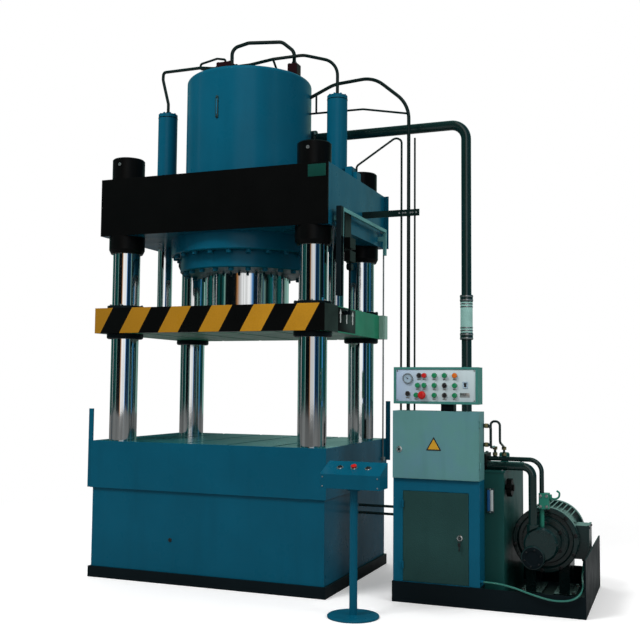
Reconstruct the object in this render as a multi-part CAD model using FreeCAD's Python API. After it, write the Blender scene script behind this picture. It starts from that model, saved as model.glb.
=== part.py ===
import FreeCAD, Part

import math
import os

from FreeCAD import Vector

# Four-column hydraulic press with its power unit, control cabinet and two-hand stand.
# Millimetres, +Z up, the operator stands on the -Y side.
# The origin is on the floor under the middle of the press table.

# Press bed
PLINTH_HEIGHT = 88
PLINTH_PROUD = 19
APRON_BOTTOM = 735
APRON_PROUD = 16
APRON_WALL = 24
TABLE_TOP = 1123
TABLE_THICKNESS = 70

# T-slots in the table and in the underside of the slide
SLOT_COUNT = 4
SLOT_SPACING = 400
SLOT_NECK = 28
SLOT_NECK_DEPTH = 26
SLOT_WIDTH = 50
SLOT_HEIGHT = 20

# Daylight over the table, and how far the slide can rise from where it rests
DAYLIGHT = 900
STROKE_UP = 300

# Columns, their nuts and collars
COLUMN_SPACING_X = 1734
COLUMN_SPACING_Y = 1180
COLUMN_RADIUS = 115
COLUMN_FOOT = 400
COLUMN_TOP_BELOW_NUT = 24
COLUMN_END_RADIUS = COLUMN_RADIUS - 12
NUT_RADIUS = 138
NUT_HEIGHT = 190
NUT_CHAMFER = 10
COLLAR_RADIUS = 151
COLLAR_HEIGHT = 146
COLLAR_CHAMFER = 34

# How far the bed, crown and slide reach past the column axes
BED_SIDE = 174
BED_END = 164
CROWN_SIDE = 174
CROWN_END = 144
SLIDE_SIDE = 163
SLIDE_END = 138
BED_WIDTH = COLUMN_SPACING_X + 2 * BED_SIDE
BED_DEPTH = COLUMN_SPACING_Y + 2 * BED_END
CROWN_WIDTH = COLUMN_SPACING_X + 2 * CROWN_SIDE
CROWN_DEPTH = COLUMN_SPACING_Y + 2 * CROWN_END
SLIDE_WIDTH = COLUMN_SPACING_X + 2 * SLIDE_SIDE
SLIDE_DEPTH = COLUMN_SPACING_Y + 2 * SLIDE_END

# Slide
SLIDE_BOTTOM = TABLE_TOP + DAYLIGHT
SLIDE_HEIGHT = 212
SLIDE_TOP = SLIDE_BOTTOM + SLIDE_HEIGHT
HAZARD_SIDE_THICKNESS = 11
HAZARD_PLATE_THICKNESS = 56
HAZARD_RETURN_DEPTH = 240
BUSH_FLANGE_RADIUS = 154
BUSH_BARREL_RADIUS = 130
BUSH_TOP_FLANGE = 26
BUSH_BOTTOM_FLANGE = 42
BUSH_CHAMFER = 10
EAR_WIDTH = 45
EAR_DEPTH = 118

# Crown
CROWN_ABOVE_SLIDE = 621
CROWN_BOTTOM = SLIDE_TOP + CROWN_ABOVE_SLIDE
CROWN_HEIGHT = 488
CROWN_TOP = CROWN_BOTTOM + CROWN_HEIGHT
FRONT_PLATE_THICKNESS = 16

# Main cylinder and ram
CYLINDER_RADIUS = 555
CYLINDER_WALL = 170
CYLINDER_RISE = 946
CYLINDER_TOP = CROWN_TOP + CYLINDER_RISE
CYLINDER_RIM = 36
CYLINDER_BORE_RADIUS = CYLINDER_RADIUS - CYLINDER_WALL
CYLINDER_END_WALL = 110
FLANGE_PROUD = 113
FLANGE_HEIGHT = 145
FLANGE_CHAMFER = 8
GLAND_PROUD = 33
GLAND_HEIGHT = 141
FLANGE_BOTTOM = CROWN_BOTTOM - FLANGE_HEIGHT
GLAND_BOTTOM = FLANGE_BOTTOM - GLAND_HEIGHT
RAM_STEP = 15
RAM_RADIUS = CYLINDER_BORE_RADIUS - RAM_STEP
RAM_TOP = CYLINDER_TOP - CYLINDER_END_WALL - STROKE_UP - 320
PISTON_HEIGHT = 100
PISTON_CLEARANCE = 2

# Return cylinders beside the main cylinder
RETURN_INBOARD_OF_COLUMN = 27
RETURN_X = COLUMN_SPACING_X / 2 - RETURN_INBOARD_OF_COLUMN
RETURN_RADIUS = 88
RETURN_RISE = 752
RETURN_TOP = CROWN_TOP + RETURN_RISE
RETURN_CAP_HEIGHT = 34
RETURN_BORE_RADIUS = 72
RETURN_GLAND_HEIGHT = 70
RETURN_ROD_RADIUS = 66
RETURN_ROD_TOP = RETURN_TOP - RETURN_CAP_HEIGHT - STROKE_UP - 122
RETURN_ROD_CHAMFER = 6

# Blocks on the crown and on the main cylinder, as (x, y, width, depth, height)
VALVE_FROM_CROWN_SIDE = 101
VALVE_WIDTHS = (60, 40)
VALVE_HEIGHTS = (112, 66)
VALVE_DEPTH = 140
VALVE_STEP_BACK = 18
PILOT_BLOCKS = ((-165, -145, 140, 130, 165), (435, -10, 90, 100, 130))
BLOCK_CHAMFER = 6

# Pressure pipes over the main cylinder
PIPE_RADIUS = 14
LOOP_RADIUS = 10
PORT_BELOW_BLOCK_TOP = 25
OVER_PIPE_RISE = 340
LEFT_PIPE_LEAN = 62
UNION_RADIUS = 24
UNION_LENGTH = 26

# Guards, guide rod and limit switch gear at the press's sides
POST_WIDTH = 40
POST_THICKNESS = 14
LEFT_POST_ABOVE_TABLE = 267
RIGHT_POST_BELOW_TABLE = 193
RIGHT_POST_ABOVE_TABLE = 339
BAR_FROM_CROWN = 62
BAR_SIZE = 28
BAR_FRONT = -600
BAR_BACK = 560
BAR_TOP = CROWN_BOTTOM + 147
BAR_FOOT = CROWN_BOTTOM - 86
BAR_STAY_HEIGHT = 40
BAR_STAY_Z = CROWN_BOTTOM + 44
RAIL_WIDTH = 40
RAIL_DEPTH = 60
RAIL_WEB = 8
RAIL_ABOVE_SLIDE = 65
STRIKER_FROM_SLIDE = 44
STRIKER_Y = -310
STRIKER_RADIUS = 9
STRIKER_LENGTH = 555
CLAMP_ABOVE_SLIDE = 330
CLAMP_HALF = (20, 30, 25)
SWITCH_WIDTH = 43
SWITCH_HEIGHT = 85
SWITCH_FRONT = -520
SWITCH_BACK = -375
SWITCH_BOTTOMS = (CROWN_BOTTOM - 271, CROWN_BOTTOM - 166)
SWITCH_ROLLER_RADIUS = 10
SWITCH_ROLLER_GAP = 6
HANGER_THICKNESS = 8
GUIDE_ROD_RADIUS = 7
GUIDE_ROD_OFF_APRON = 9
GUIDE_ROD_FROM_SLIDE_BACK = 100
GUIDE_ROD_PLAY = 2.5
GUIDE_FOOT_BELOW_TABLE = 158
GUIDE_FOOT_THICKNESS = 30
GUIDE_HEAD_ABOVE_CROWN_BOTTOM = 129

# Running clearances
SLIDING_FIT = 0.3
BORE_FIT = 0.3
RUNNING_GAP = 0.5
DOOR_GAP = 3

# Control cabinet
CABINET_LEFT = 1536
CABINET_WIDTH = 654
CABINET_RIGHT = CABINET_LEFT + CABINET_WIDTH
CABINET_FRONT = -600
CABINET_DEPTH = 175
CABINET_BACK = CABINET_FRONT + CABINET_DEPTH
CABINET_WALL = 4
LOWER_TOP = 912
UPPER_HEIGHT = 505
UPPER_TOP = LOWER_TOP + UPPER_HEIGHT
UPPER_DOOR_THICKNESS = 18
UPPER_LOCK = (51, 218)
LOWER_DOOR_LEFT = CABINET_LEFT + 78
LOWER_DOOR_RIGHT = CABINET_RIGHT - 82
LOWER_DOOR_TOP = LOWER_TOP - 92
LOWER_DOOR_THICKNESS = 18
LOWER_LOCK_FROM_EDGE = 65
LOWER_LOCK_BELOW_TOP = 325
LOCK_RADIUS = 13
LOCK_PROUD = 9
UPPER_HINGE = (CABINET_RIGHT + 6.5, CABINET_FRONT - 9.5)
LOWER_HINGE = (LOWER_DOOR_LEFT - 1.5, CABINET_FRONT - 7)
HINGE_RADIUS = 7
HINGE_LENGTH = 50
UPPER_HINGE_INSETS = (88, 117)
LOWER_HINGE_INSETS = (100, 120)
CABLE_GLAND_RADIUS = 13

# Operator panel on the cabinet; controls are (x, z) from the case's lower left corner
NECK_HEIGHT = 53
NECK_WIDTH = 96
NECK_FROM_RIGHT = 196
PANEL_INSET = 6
PANEL_BOTTOM = UPPER_TOP + NECK_HEIGHT
PANEL_HEIGHT = 275
PANEL_TOP = PANEL_BOTTOM + PANEL_HEIGHT
PANEL_LEFT = CABINET_LEFT + PANEL_INSET
PANEL_RIGHT = CABINET_RIGHT - PANEL_INSET
PANEL_DEPTH = 165
PANEL_BEZEL = 18
PANEL_RECESS = 6
PANEL_ROWS = (212, 138, 65)
PANEL_BUTTONS = ([(x, PANEL_ROWS[0]) for x in (237, 315, 392, 469)]
                 + [(x, PANEL_ROWS[1]) for x in (187, 237, 315, 469)]
                 + [(x, PANEL_ROWS[2]) for x in (176, 315, 469)])
PANEL_SELECTORS = ((198, PANEL_ROWS[0]), (392, PANEL_ROWS[1]), (392, PANEL_ROWS[2]), (110, 75))
EMERGENCY_STOP = (224, PANEL_ROWS[2])
PANEL_DIAL = (110, 190)
BUTTON_RADIUS = 17
SELECTOR_RADIUS = 15

# Power unit: tray, oil tank, motor and pump
TRAY_WALL = 10
TRAY_LIP = 150
TRAY_LEFT = CABINET_LEFT - 6
TRAY_FRONT = CABINET_FRONT - 12
TRAY_BACK = 560
TRAY_END_HEIGHT = 405
TANK_LEFT = CABINET_LEFT + 16
TANK_RIGHT = CABINET_RIGHT + 144
TANK_FRONT = CABINET_BACK + 7
TANK_BACK = 470
TANK_TOP = 980
TANK_LID = 14
GAUGE_FROM_CABINET = 16
GAUGE_WIDTH = 56
GAUGE_DROP = 130
GAUGE_HEIGHT = 182
BREATHER_RADIUS = 42
WHEEL_Y = -330
WHEEL_Z = 852
WHEEL_RADIUS = 68
WHEEL_LOBES = 7
WHEEL_NOTCH = 17
WHEEL_WIDTH = 38
WHEEL_STEM = 10
MOTOR_X = TANK_RIGHT + 256
MOTOR_HEIGHT = 448
MOTOR_FRONT = -60
MOTOR_LENGTH = 470
MOTOR_RADIUS = 212
RIB_COUNT = 40
RIB_RADIUS = 238
RIB_THICKNESS = 9
RIB_INSET = 14
FAN_COVER_LENGTH = 92
FAN_COVER_ROUND = 34
FAN_SLOTS = 16
BELL_DEPTH = 60
BELL_RADIUS = 246
BELL_RIM = 34
BELL_RECESS = 30
BELL_CHAMFER = 7
FOOT_SPACING = 250
FOOT_WIDTH = 80
FOOT_INSET = 60
FOOT_PLATE = 24
TERMINAL_PROUD = 104
TERMINAL_FROM_BELL = 20
TERMINAL_LENGTH = 190
TERMINAL_HEIGHT = 250
TERMINAL_DROP = 13
TERMINAL_LID = 14
TERMINAL_LID_PROUD = 5
TRAY_RIGHT = MOTOR_X + 342
PUMP_FLANGE_RADIUS = 160
PUMP_FLANGE = 28
PUMP_NECK_RADIUS = 104
PUMP_NECK = 34
PUMP_RADIUS = 125
PUMP_BODY = 182
PUMP_CHAMFER = 14
PUMP_HEAD_RADIUS = 87
PUMP_HEAD_SHIFT = 55
PUMP_HEAD_DROP = 96
PUMP_HEAD_LENGTH = 160
PUMP_HEAD_PROUD = 22

# Two-hand stand
STAND_X = 1419
STAND_Y = -1165
STAND_FOOT_RADIUS = 182
STAND_FOOT_HEIGHT = 14
STAND_FOOT_CHAMFER = 4
STAND_POLE_RADIUS = 28
STAND_COLLAR_RADIUS = 46
STAND_COLLAR_HEIGHT = 16
STAND_BOX_WIDTH = 440
STAND_BOX_DEPTH = 190
STAND_BOX_BOTTOM = 885
STAND_BOX_FRONT_TOP = 985
STAND_BOX_BACK_TOP = 1062
STAND_BOX_ROUND = 7
STAND_BUTTONS = ((-105, 15, 12), (0, 21, 24), (105, 15, 12))

# Suction pipe
SUCTION_RADIUS = 42
SUCTION_ABOVE_CROWN = 488
SUCTION_Y = 300
SUCTION_X = TANK_LEFT + 348
SUCTION_BEND = 130
SUCTION_HEIGHT = CROWN_TOP + SUCTION_ABOVE_CROWN
SLEEVE_ABOVE_TANK = 1070
SLEEVE_LENGTH = 260
SLEEVE_BOTTOM = TANK_TOP + SLEEVE_ABOVE_TANK
SLEEVE_TOP = SLEEVE_BOTTOM + SLEEVE_LENGTH
SLEEVE_WALL = 9
COUPLING_HEIGHT = 58
COUPLING_WALL = 12
WALL_FLANGE_RADIUS = 70
WALL_FLANGE = 24

# Three pilot pipes down behind the cabinet
TRIO_Y = 120
TRIO_FROM_CROWN = (344, 405, 461)
TRIO_X = tuple(CROWN_WIDTH / 2 + reach for reach in TRIO_FROM_CROWN)
TRIO_RADII = (9, 15, 8)
TRIO_ABOVE_CROWN = (346, 656, 356)
TRIO_BENDS = (40, 280, 60)
UPPER_BRANCH_ABOVE_CROWN = (806, 906, 926)
LOWER_BRANCH_ABOVE_CROWN = (662, 634)
BRANCH_LINK_OUT = 42
BRACKET_ABOVE_CROWN_BOTTOM = 204
BRACKET_HALF = 28
BRACKET_BACK = 105
BRACKET_THICKNESS = 12
BRACKET_PAST_TRIO = 43
MANIFOLD_LEFT = TANK_LEFT + 48
MANIFOLD_WIDTH = 190
MANIFOLD_HEIGHT = 290
MANIFOLD_FRONT = 20
MANIFOLD_DEPTH = 200
MANIFOLD_PORTS = (110, 170, 230)

# Pump pipes, relief valve and the small pipes beside the cabinet
PUMP_PIPE_START = CABINET_RIGHT + 6
PUMP_PIPE_Y = -330
PUMP_BLOCK_WIDTH = 236
PUMP_BLOCK_FRONT = 70
PUMP_BLOCK_DEPTH = 210
PUMP_BLOCK_HEIGHT = 120
PUMP_PIPE_ABOVE_TANK = 30
PUMP_PIPE_RADIUS = 30
PUMP_PIPE_OFFSET = 60
PUMP_PIPE_BEND = 70
RETURN_PIPE_BACK = 50
RETURN_PIPE_ABOVE = 50
RETURN_PIPE_BEND = 90
RELIEF_PIPE_RADIUS = 17
RELIEF_VALVE_WIDTH = 74
RELIEF_VALVE_DEPTH = 80
RELIEF_VALVE_BOTTOM = 704
RELIEF_VALVE_TOP = 818
RELIEF_BONNET = (24, 16)
LEVER_RADIUS = 7
GAUGE_PIPE_Y = -450
GAUGE_PIPE_Z = 1312
GAUGE_PIPE_RADIUS = 10
GAUGE_PIPE_OUT = (54, 122)
GAUGE_STUB_DROP = 140
GAUGE_STUB_RADIUS = 15
GAUGE_BOSS_HEIGHT = 26
LINK_PIPE_Y = 60
LINK_PIPE_HEIGHTS = (607, 545)
LINK_PIPE_RADIUS = 11

# Flexible conduit from the cabinet's side over the tray's lip to the motor's terminal box
CONDUIT_RADIUS = 7
CONDUIT_ROUTE = ((2210, -575, 190), (2290, -580, 192), (2430, -610, 178), (2570, -636, 142),
                 (2710, -641, 113), (2820, -640, 122), (2875, -636, 150), (2903, -600, 182),
                 (2905, -530, 200), (2893, -420, 203), (2878, -290, 198), (2864, -165, 203),
                 (2857, -60, 213), (2855, 15, 240), (2855, 40, 285))

NODES = {}


def keep(node, *solids):
    """Put one or more separate solids under a node's name."""
    NODES.setdefault(node, []).extend(solids)


def block(x0, x1, y0, y1, z0, z1):
    return Part.makeBox(x1 - x0, y1 - y0, z1 - z0, Vector(x0, y0, z0))


def centred_block(width, depth, z0, z1):
    return block(-width / 2, width / 2, -depth / 2, depth / 2, z0, z1)


def upright(x, y, z0, z1, radius):
    return Part.makeCylinder(radius, z1 - z0, Vector(x, y, z0))


def along(start, direction, length, radius):
    return Part.makeCylinder(radius, length, Vector(*start), Vector(*direction))


def turned(profile, x=0, y=0):
    """Revolve a closed (radius, height) outline about a vertical axis."""
    points = [Vector(x + radius, y, height) for radius, height in profile]
    face = Part.Face(Part.makePolygon(points + points[:1]))
    return face.revolve(Vector(x, y, 0), Vector(0, 0, 1), 360)


def turned_forward(profile, x, z):
    """Revolve a closed (radius, y) outline about an axis along Y."""
    points = [Vector(x + radius, y, z) for radius, y in profile]
    face = Part.Face(Part.makePolygon(points + points[:1]))
    return face.revolve(Vector(x, 0, z), Vector(0, 1, 0), 360)


def union_nut(x, y, z, direction=(0, 0, 1)):
    """Hexagonal pipe union that seats on a port."""
    corners = [Vector(UNION_RADIUS * math.cos(math.radians(60 * side)),
                      UNION_RADIUS * math.sin(math.radians(60 * side)), 0) for side in range(6)]
    nut = Part.Face(Part.makePolygon(corners + corners[:1])).extrude(Vector(0, 0, UNION_LENGTH))
    nut.Placement = FreeCAD.Placement(Vector(x, y, z),
                                      FreeCAD.Rotation(Vector(0, 0, 1), Vector(*direction)))
    return nut


def edges_at(shape, test):
    return [edge for edge in shape.Edges if test(edge)]


def upright_edge(edge):
    box = edge.BoundBox
    return box.XLength < 1e-6 and box.YLength < 1e-6


def at_height(height):
    return lambda edge: abs(edge.BoundBox.ZMin - height) < 1e-6 and edge.BoundBox.ZLength < 1e-6


def bends(route, bend=None):
    """Give each corner's tangent arc as its start, middle, end and radius.

    Without a bend radius each arc is as large as its two runs allow.
    """
    for before, corner, after in zip(route, route[1:], route[2:]):
        incoming = (corner - before).normalize()
        outgoing = (after - corner).normalize()
        half_turn = incoming.getAngle(outgoing) / 2
        setback = 0.45 * min(corner.distanceToPoint(before), corner.distanceToPoint(after))
        if bend is not None:
            setback = min(setback, bend * math.tan(half_turn))
        radius = setback / math.tan(half_turn)
        inward = (outgoing - incoming).normalize()
        yield (corner - incoming * setback,
               corner + inward * (radius / math.cos(half_turn) - radius),
               corner + outgoing * setback, radius)


def tube(points, radius, bend=None):
    """Sweep a round bar along straight runs joined by tangent arcs."""
    route = [Vector(*point) for point in points]
    edges = []
    start = route[0]
    for first, middle, last, _ in bends(route, bend):
        edges.append(Part.LineSegment(start, first).toShape())
        edges.append(Part.Arc(first, middle, last).toShape())
        start = last
    edges.append(Part.LineSegment(start, route[-1]).toShape())
    circle = Part.makeCircle(radius, route[0], route[1] - route[0])
    return Part.Wire(edges).makePipeShell([Part.Wire([circle])], True, False)


def column_places():
    for y in (-COLUMN_SPACING_Y / 2, COLUMN_SPACING_Y / 2):
        for x in (-COLUMN_SPACING_X / 2, COLUMN_SPACING_X / 2):
            yield x, y


def with_t_slots(plate, y0, y1, face, inward):
    """Mill T-slots along Y that open on a horizontal face; inward is +1 up or -1 down."""
    neck_end = face + inward * SLOT_NECK_DEPTH
    slot_end = neck_end + inward * SLOT_HEIGHT
    for index in range(SLOT_COUNT):
        x = (index - (SLOT_COUNT - 1) / 2) * SLOT_SPACING
        neck = block(x - SLOT_NECK / 2, x + SLOT_NECK / 2, y0, y1,
                     min(face - inward, neck_end), max(face - inward, neck_end))
        head = block(x - SLOT_WIDTH / 2, x + SLOT_WIDTH / 2, y0, y1,
                     min(neck_end, slot_end), max(neck_end, slot_end))
        plate = plate.cut(neck.fuse(head))
    return plate


def bored_for_columns(shape, z0, z1, radius):
    for x, y in column_places():
        shape = shape.cut(upright(x, y, z0, z1, radius))
    return shape


def outside_cylinder(shape):
    """Trim what meets the main cylinder to its wall."""
    return shape.cut(upright(0, 0, CROWN_TOP, CYLINDER_TOP, CYLINDER_RADIUS + BORE_FIT))


def make_bed():
    column_bore = COLUMN_RADIUS + BORE_FIT
    keep("bed_plinth", centred_block(BED_WIDTH + 2 * PLINTH_PROUD, BED_DEPTH + 2 * PLINTH_PROUD,
                                     0, PLINTH_HEIGHT))
    body = centred_block(BED_WIDTH, BED_DEPTH, PLINTH_HEIGHT, APRON_BOTTOM)
    keep("bed_body", bored_for_columns(body, COLUMN_FOOT, APRON_BOTTOM + 1, column_bore))

    side = BED_WIDTH / 2 + APRON_PROUD
    end = BED_DEPTH / 2 + APRON_PROUD
    table_bottom = TABLE_TOP - TABLE_THICKNESS
    apron = block(-side, side, -end, end, APRON_BOTTOM, TABLE_TOP)
    pocket = (-side + APRON_WALL, side - APRON_WALL, -end + APRON_WALL)
    apron = apron.cut(block(*pocket, end + 1, table_bottom, TABLE_TOP + 1))
    keep("bed_apron", bored_for_columns(apron, APRON_BOTTOM - 1, TABLE_TOP, column_bore))

    table = block(*pocket, end, table_bottom, TABLE_TOP)
    table = with_t_slots(table, -end + APRON_WALL - 1, end + 1, TABLE_TOP, -1)
    keep("table_plate", bored_for_columns(table, APRON_BOTTOM, TABLE_TOP + 1, column_bore))


def make_columns():
    column_top = CROWN_TOP + NUT_HEIGHT - COLUMN_TOP_BELOW_NUT
    bore = COLUMN_RADIUS + BORE_FIT
    for x, y in column_places():
        keep("columns", upright(x, y, COLUMN_FOOT, column_top, COLUMN_RADIUS))
        keep("column_nuts",
             turned([(bore, CROWN_TOP), (NUT_RADIUS, CROWN_TOP),
                     (NUT_RADIUS, CROWN_TOP + NUT_HEIGHT - NUT_CHAMFER),
                     (NUT_RADIUS - NUT_CHAMFER, CROWN_TOP + NUT_HEIGHT),
                     (COLUMN_END_RADIUS, CROWN_TOP + NUT_HEIGHT), (COLUMN_END_RADIUS, column_top),
                     (bore, column_top)], x, y))
        collar_bottom = CROWN_BOTTOM - COLLAR_HEIGHT
        keep("column_collars",
             turned([(bore, CROWN_BOTTOM), (COLLAR_RADIUS, CROWN_BOTTOM),
                     (COLLAR_RADIUS, collar_bottom + COLLAR_CHAMFER),
                     (COLLAR_RADIUS - COLLAR_CHAMFER / 2, collar_bottom),
                     (bore, collar_bottom)], x, y))


def make_crown():
    front = -CROWN_DEPTH / 2
    plate_back = front + FRONT_PLATE_THICKNESS
    crown = block(-CROWN_WIDTH / 2, CROWN_WIDTH / 2, plate_back, CROWN_DEPTH / 2,
                  CROWN_BOTTOM, CROWN_TOP)
    crown = bored_for_columns(crown, CROWN_BOTTOM - 1, CROWN_TOP + 1, COLUMN_RADIUS + BORE_FIT)
    crown = crown.cut(upright(0, 0, CROWN_BOTTOM - 1, CROWN_TOP + 1, CYLINDER_RADIUS + BORE_FIT))
    for x in (-RETURN_X, RETURN_X):
        crown = crown.cut(upright(x, 0, CROWN_BOTTOM - 1, CROWN_TOP + 1, RETURN_RADIUS + BORE_FIT))
    keep("crown_body", crown)
    keep("crown_front_plate", block(-CROWN_WIDTH / 2, CROWN_WIDTH / 2, front, plate_back,
                                    CROWN_BOTTOM, CROWN_TOP))


def make_main_cylinder():
    bore_top = CYLINDER_TOP - CYLINDER_END_WALL
    barrel = turned([(CYLINDER_BORE_RADIUS, CROWN_BOTTOM), (CYLINDER_RADIUS, CROWN_BOTTOM),
                     (CYLINDER_RADIUS, CYLINDER_TOP), (0, CYLINDER_TOP), (0, bore_top),
                     (CYLINDER_BORE_RADIUS, bore_top)])
    barrel = barrel.makeFillet(CYLINDER_RIM, edges_at(barrel, at_height(CYLINDER_TOP)))
    keep("main_cylinder", barrel)
    rings = (("cylinder_flange", CYLINDER_BORE_RADIUS, CYLINDER_RADIUS + FLANGE_PROUD,
              FLANGE_BOTTOM, CROWN_BOTTOM),
             ("cylinder_gland", RAM_RADIUS + SLIDING_FIT, CYLINDER_RADIUS + GLAND_PROUD,
              GLAND_BOTTOM, FLANGE_BOTTOM))
    for node, bore, radius, bottom, top in rings:
        keep(node, turned([(bore, bottom), (radius - FLANGE_CHAMFER, bottom),
                           (radius, bottom + FLANGE_CHAMFER), (radius, top), (bore, top)]))


def make_slide():
    side = SLIDE_WIDTH / 2
    back = SLIDE_DEPTH / 2
    front = -back
    body = block(-side, side, front, back, SLIDE_BOTTOM, SLIDE_TOP)
    body = bored_for_columns(body, SLIDE_BOTTOM - 1, SLIDE_TOP + 1, BUSH_BARREL_RADIUS + BORE_FIT)
    body = with_t_slots(body, front - 1, back + 1, SLIDE_BOTTOM, 1)
    ear = block(side, side + EAR_WIDTH, back - EAR_DEPTH, back, SLIDE_BOTTOM, SLIDE_TOP)
    rod_x, rod_y = guide_rod_place()
    play = GUIDE_ROD_RADIUS + GUIDE_ROD_PLAY
    fork = block(rod_x - play, side + EAR_WIDTH + 1, rod_y - play, rod_y + play,
                 SLIDE_BOTTOM - 1, SLIDE_TOP + 1)
    keep("slide_body", body.fuse(ear.cut(fork)))
    hazard = block(-side - HAZARD_SIDE_THICKNESS, side + HAZARD_SIDE_THICKNESS,
                   front - HAZARD_PLATE_THICKNESS, front + HAZARD_RETURN_DEPTH,
                   SLIDE_BOTTOM, SLIDE_TOP)
    keep("slide_front_plate", hazard.cut(block(-side, side, front, back,
                                               SLIDE_BOTTOM - 1, SLIDE_TOP + 1)))
    bore = COLUMN_RADIUS + SLIDING_FIT
    lower = SLIDE_BOTTOM - BUSH_BOTTOM_FLANGE
    upper = SLIDE_TOP + BUSH_TOP_FLANGE
    for x, y in column_places():
        keep("guide_bushes", turned([(bore, lower), (BUSH_FLANGE_RADIUS - BUSH_CHAMFER, lower),
                                     (BUSH_FLANGE_RADIUS, lower + BUSH_CHAMFER),
                                     (BUSH_FLANGE_RADIUS, SLIDE_BOTTOM),
                                     (BUSH_BARREL_RADIUS, SLIDE_BOTTOM),
                                     (BUSH_BARREL_RADIUS, SLIDE_TOP),
                                     (BUSH_FLANGE_RADIUS, SLIDE_TOP),
                                     (BUSH_FLANGE_RADIUS, upper), (bore, upper)], x, y))
    piston_bottom = RAM_TOP - PISTON_HEIGHT
    piston_radius = CYLINDER_BORE_RADIUS - PISTON_CLEARANCE
    keep("ram", turned([(0, SLIDE_TOP), (RAM_RADIUS, SLIDE_TOP), (RAM_RADIUS, piston_bottom),
                        (piston_radius, piston_bottom), (piston_radius, RAM_TOP), (0, RAM_TOP)]))


def make_return_cylinders():
    """Plunger cylinders that lift the slide."""
    gland_top = CROWN_BOTTOM + RETURN_GLAND_HEIGHT
    bore_top = RETURN_TOP - RETURN_CAP_HEIGHT
    gland_bore = RETURN_ROD_RADIUS + SLIDING_FIT
    for x in (-RETURN_X, RETURN_X):
        keep("return_cylinders",
             turned([(gland_bore, CROWN_BOTTOM), (RETURN_RADIUS, CROWN_BOTTOM),
                     (RETURN_RADIUS, RETURN_TOP), (0, RETURN_TOP), (0, bore_top),
                     (RETURN_BORE_RADIUS, bore_top), (RETURN_BORE_RADIUS, gland_top),
                     (gland_bore, gland_top)], x))
        keep("return_rods",
             turned([(0, SLIDE_TOP), (RETURN_ROD_RADIUS, SLIDE_TOP),
                     (RETURN_ROD_RADIUS, RETURN_ROD_TOP - RETURN_ROD_CHAMFER),
                     (RETURN_ROD_RADIUS - RETURN_ROD_CHAMFER, RETURN_ROD_TOP),
                     (0, RETURN_ROD_TOP)], x))


def make_valve_blocks():
    inner = CROWN_WIDTH / 2 - VALVE_FROM_CROWN_SIDE
    middle = inner + VALVE_WIDTHS[0]
    low_half = VALVE_DEPTH / 2 - VALVE_STEP_BACK
    keep("return_valve_block",
         block(inner, middle, -VALVE_DEPTH / 2, VALVE_DEPTH / 2, CROWN_TOP,
               CROWN_TOP + VALVE_HEIGHTS[0]),
         block(middle, middle + VALVE_WIDTHS[1], -low_half, low_half, CROWN_TOP,
               CROWN_TOP + VALVE_HEIGHTS[1]))
    for x, y, width, depth, height in PILOT_BLOCKS:
        valve = block(x - width / 2, x + width / 2, y - depth / 2, y + depth / 2,
                      CYLINDER_TOP, CYLINDER_TOP + height)
        keep("pilot_blocks", valve.makeChamfer(BLOCK_CHAMFER, edges_at(valve, upright_edge)))


def make_top_pipes():
    """Pressure pipes between the return cylinders and the blocks on the main cylinder."""
    (x1, y1, width1, _, height1), (x2, y2, width2, _, height2) = PILOT_BLOCKS
    left_port = x1 - width1 / 2
    right_port = x1 + width1 / 2
    block_top = CYLINDER_TOP + height1
    port_z = block_top - PORT_BELOW_BLOCK_TOP
    over_z = CYLINDER_TOP + OVER_PIPE_RISE
    lean_x = -RETURN_X - LEFT_PIPE_LEAN
    lean_z = (RETURN_TOP + port_z) / 2
    left = tube([(-RETURN_X, 0, RETURN_TOP), (-RETURN_X, 0, lean_z - 60), (lean_x, 0, port_z + 10),
                 (lean_x + 12, -15, port_z + 74), (left_port - 190, y1 + 2, port_z + 22),
                 (left_port - 60, y1, port_z), (left_port, y1, port_z)], PIPE_RADIUS, 45)
    left = left.fuse(union_nut(-RETURN_X, 0, RETURN_TOP))
    left = left.fuse(union_nut(left_port - UNION_LENGTH, y1, port_z, (1, 0, 0)))

    loop_y = y1 + 48
    loop = tube([(x1 - 35, loop_y, block_top), (x1 - 35, loop_y, block_top + 62),
                 (x1 - 120, loop_y, block_top + 80), (x1 - 285, loop_y, block_top + 50),
                 (x1 - 292, loop_y, block_top + 5), (x1 - 190, loop_y, block_top - 22),
                 (left_port - 60, loop_y, block_top - 75), (left_port, loop_y, block_top - 75)],
                LOOP_RADIUS, 22)

    over_x = x1 + 55
    over = tube([(over_x, y1, block_top), (over_x, y1, over_z - 40), (x1 + 205, -120, over_z),
                 (x2 - 105, -40, over_z), (x2, y2, over_z - 90),
                 (x2, y2, CYLINDER_TOP + height2)], PIPE_RADIUS + 2, 80)
    over = over.fuse(union_nut(x2, y2, CYLINDER_TOP + height2))

    right_y = y1 + 25
    right = tube([(right_port, right_y, port_z), (right_port + 150, right_y, port_z),
                  (x2 - 160, y1 + 40, port_z + 30), (x2 + 97, -30, port_z + 60),
                  (RETURN_X, 0, port_z - 30), (RETURN_X, 0, RETURN_TOP)], PIPE_RADIUS, 160)
    block_left = x2 - width2 / 2
    branch = tube([(x2 - 160, y1 + 40, port_z + 22), (x2 - 160, y2 + 10, CYLINDER_TOP + 78),
                   (block_left, y2 + 10, CYLINDER_TOP + 78)], LOOP_RADIUS, 40)
    right = right.fuse(branch)
    right = right.fuse(union_nut(RETURN_X, 0, RETURN_TOP))
    right = right.fuse(union_nut(right_port, right_y, port_z, (1, 0, 0)))
    keep("top_pipes", left, loop, over, right)


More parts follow.
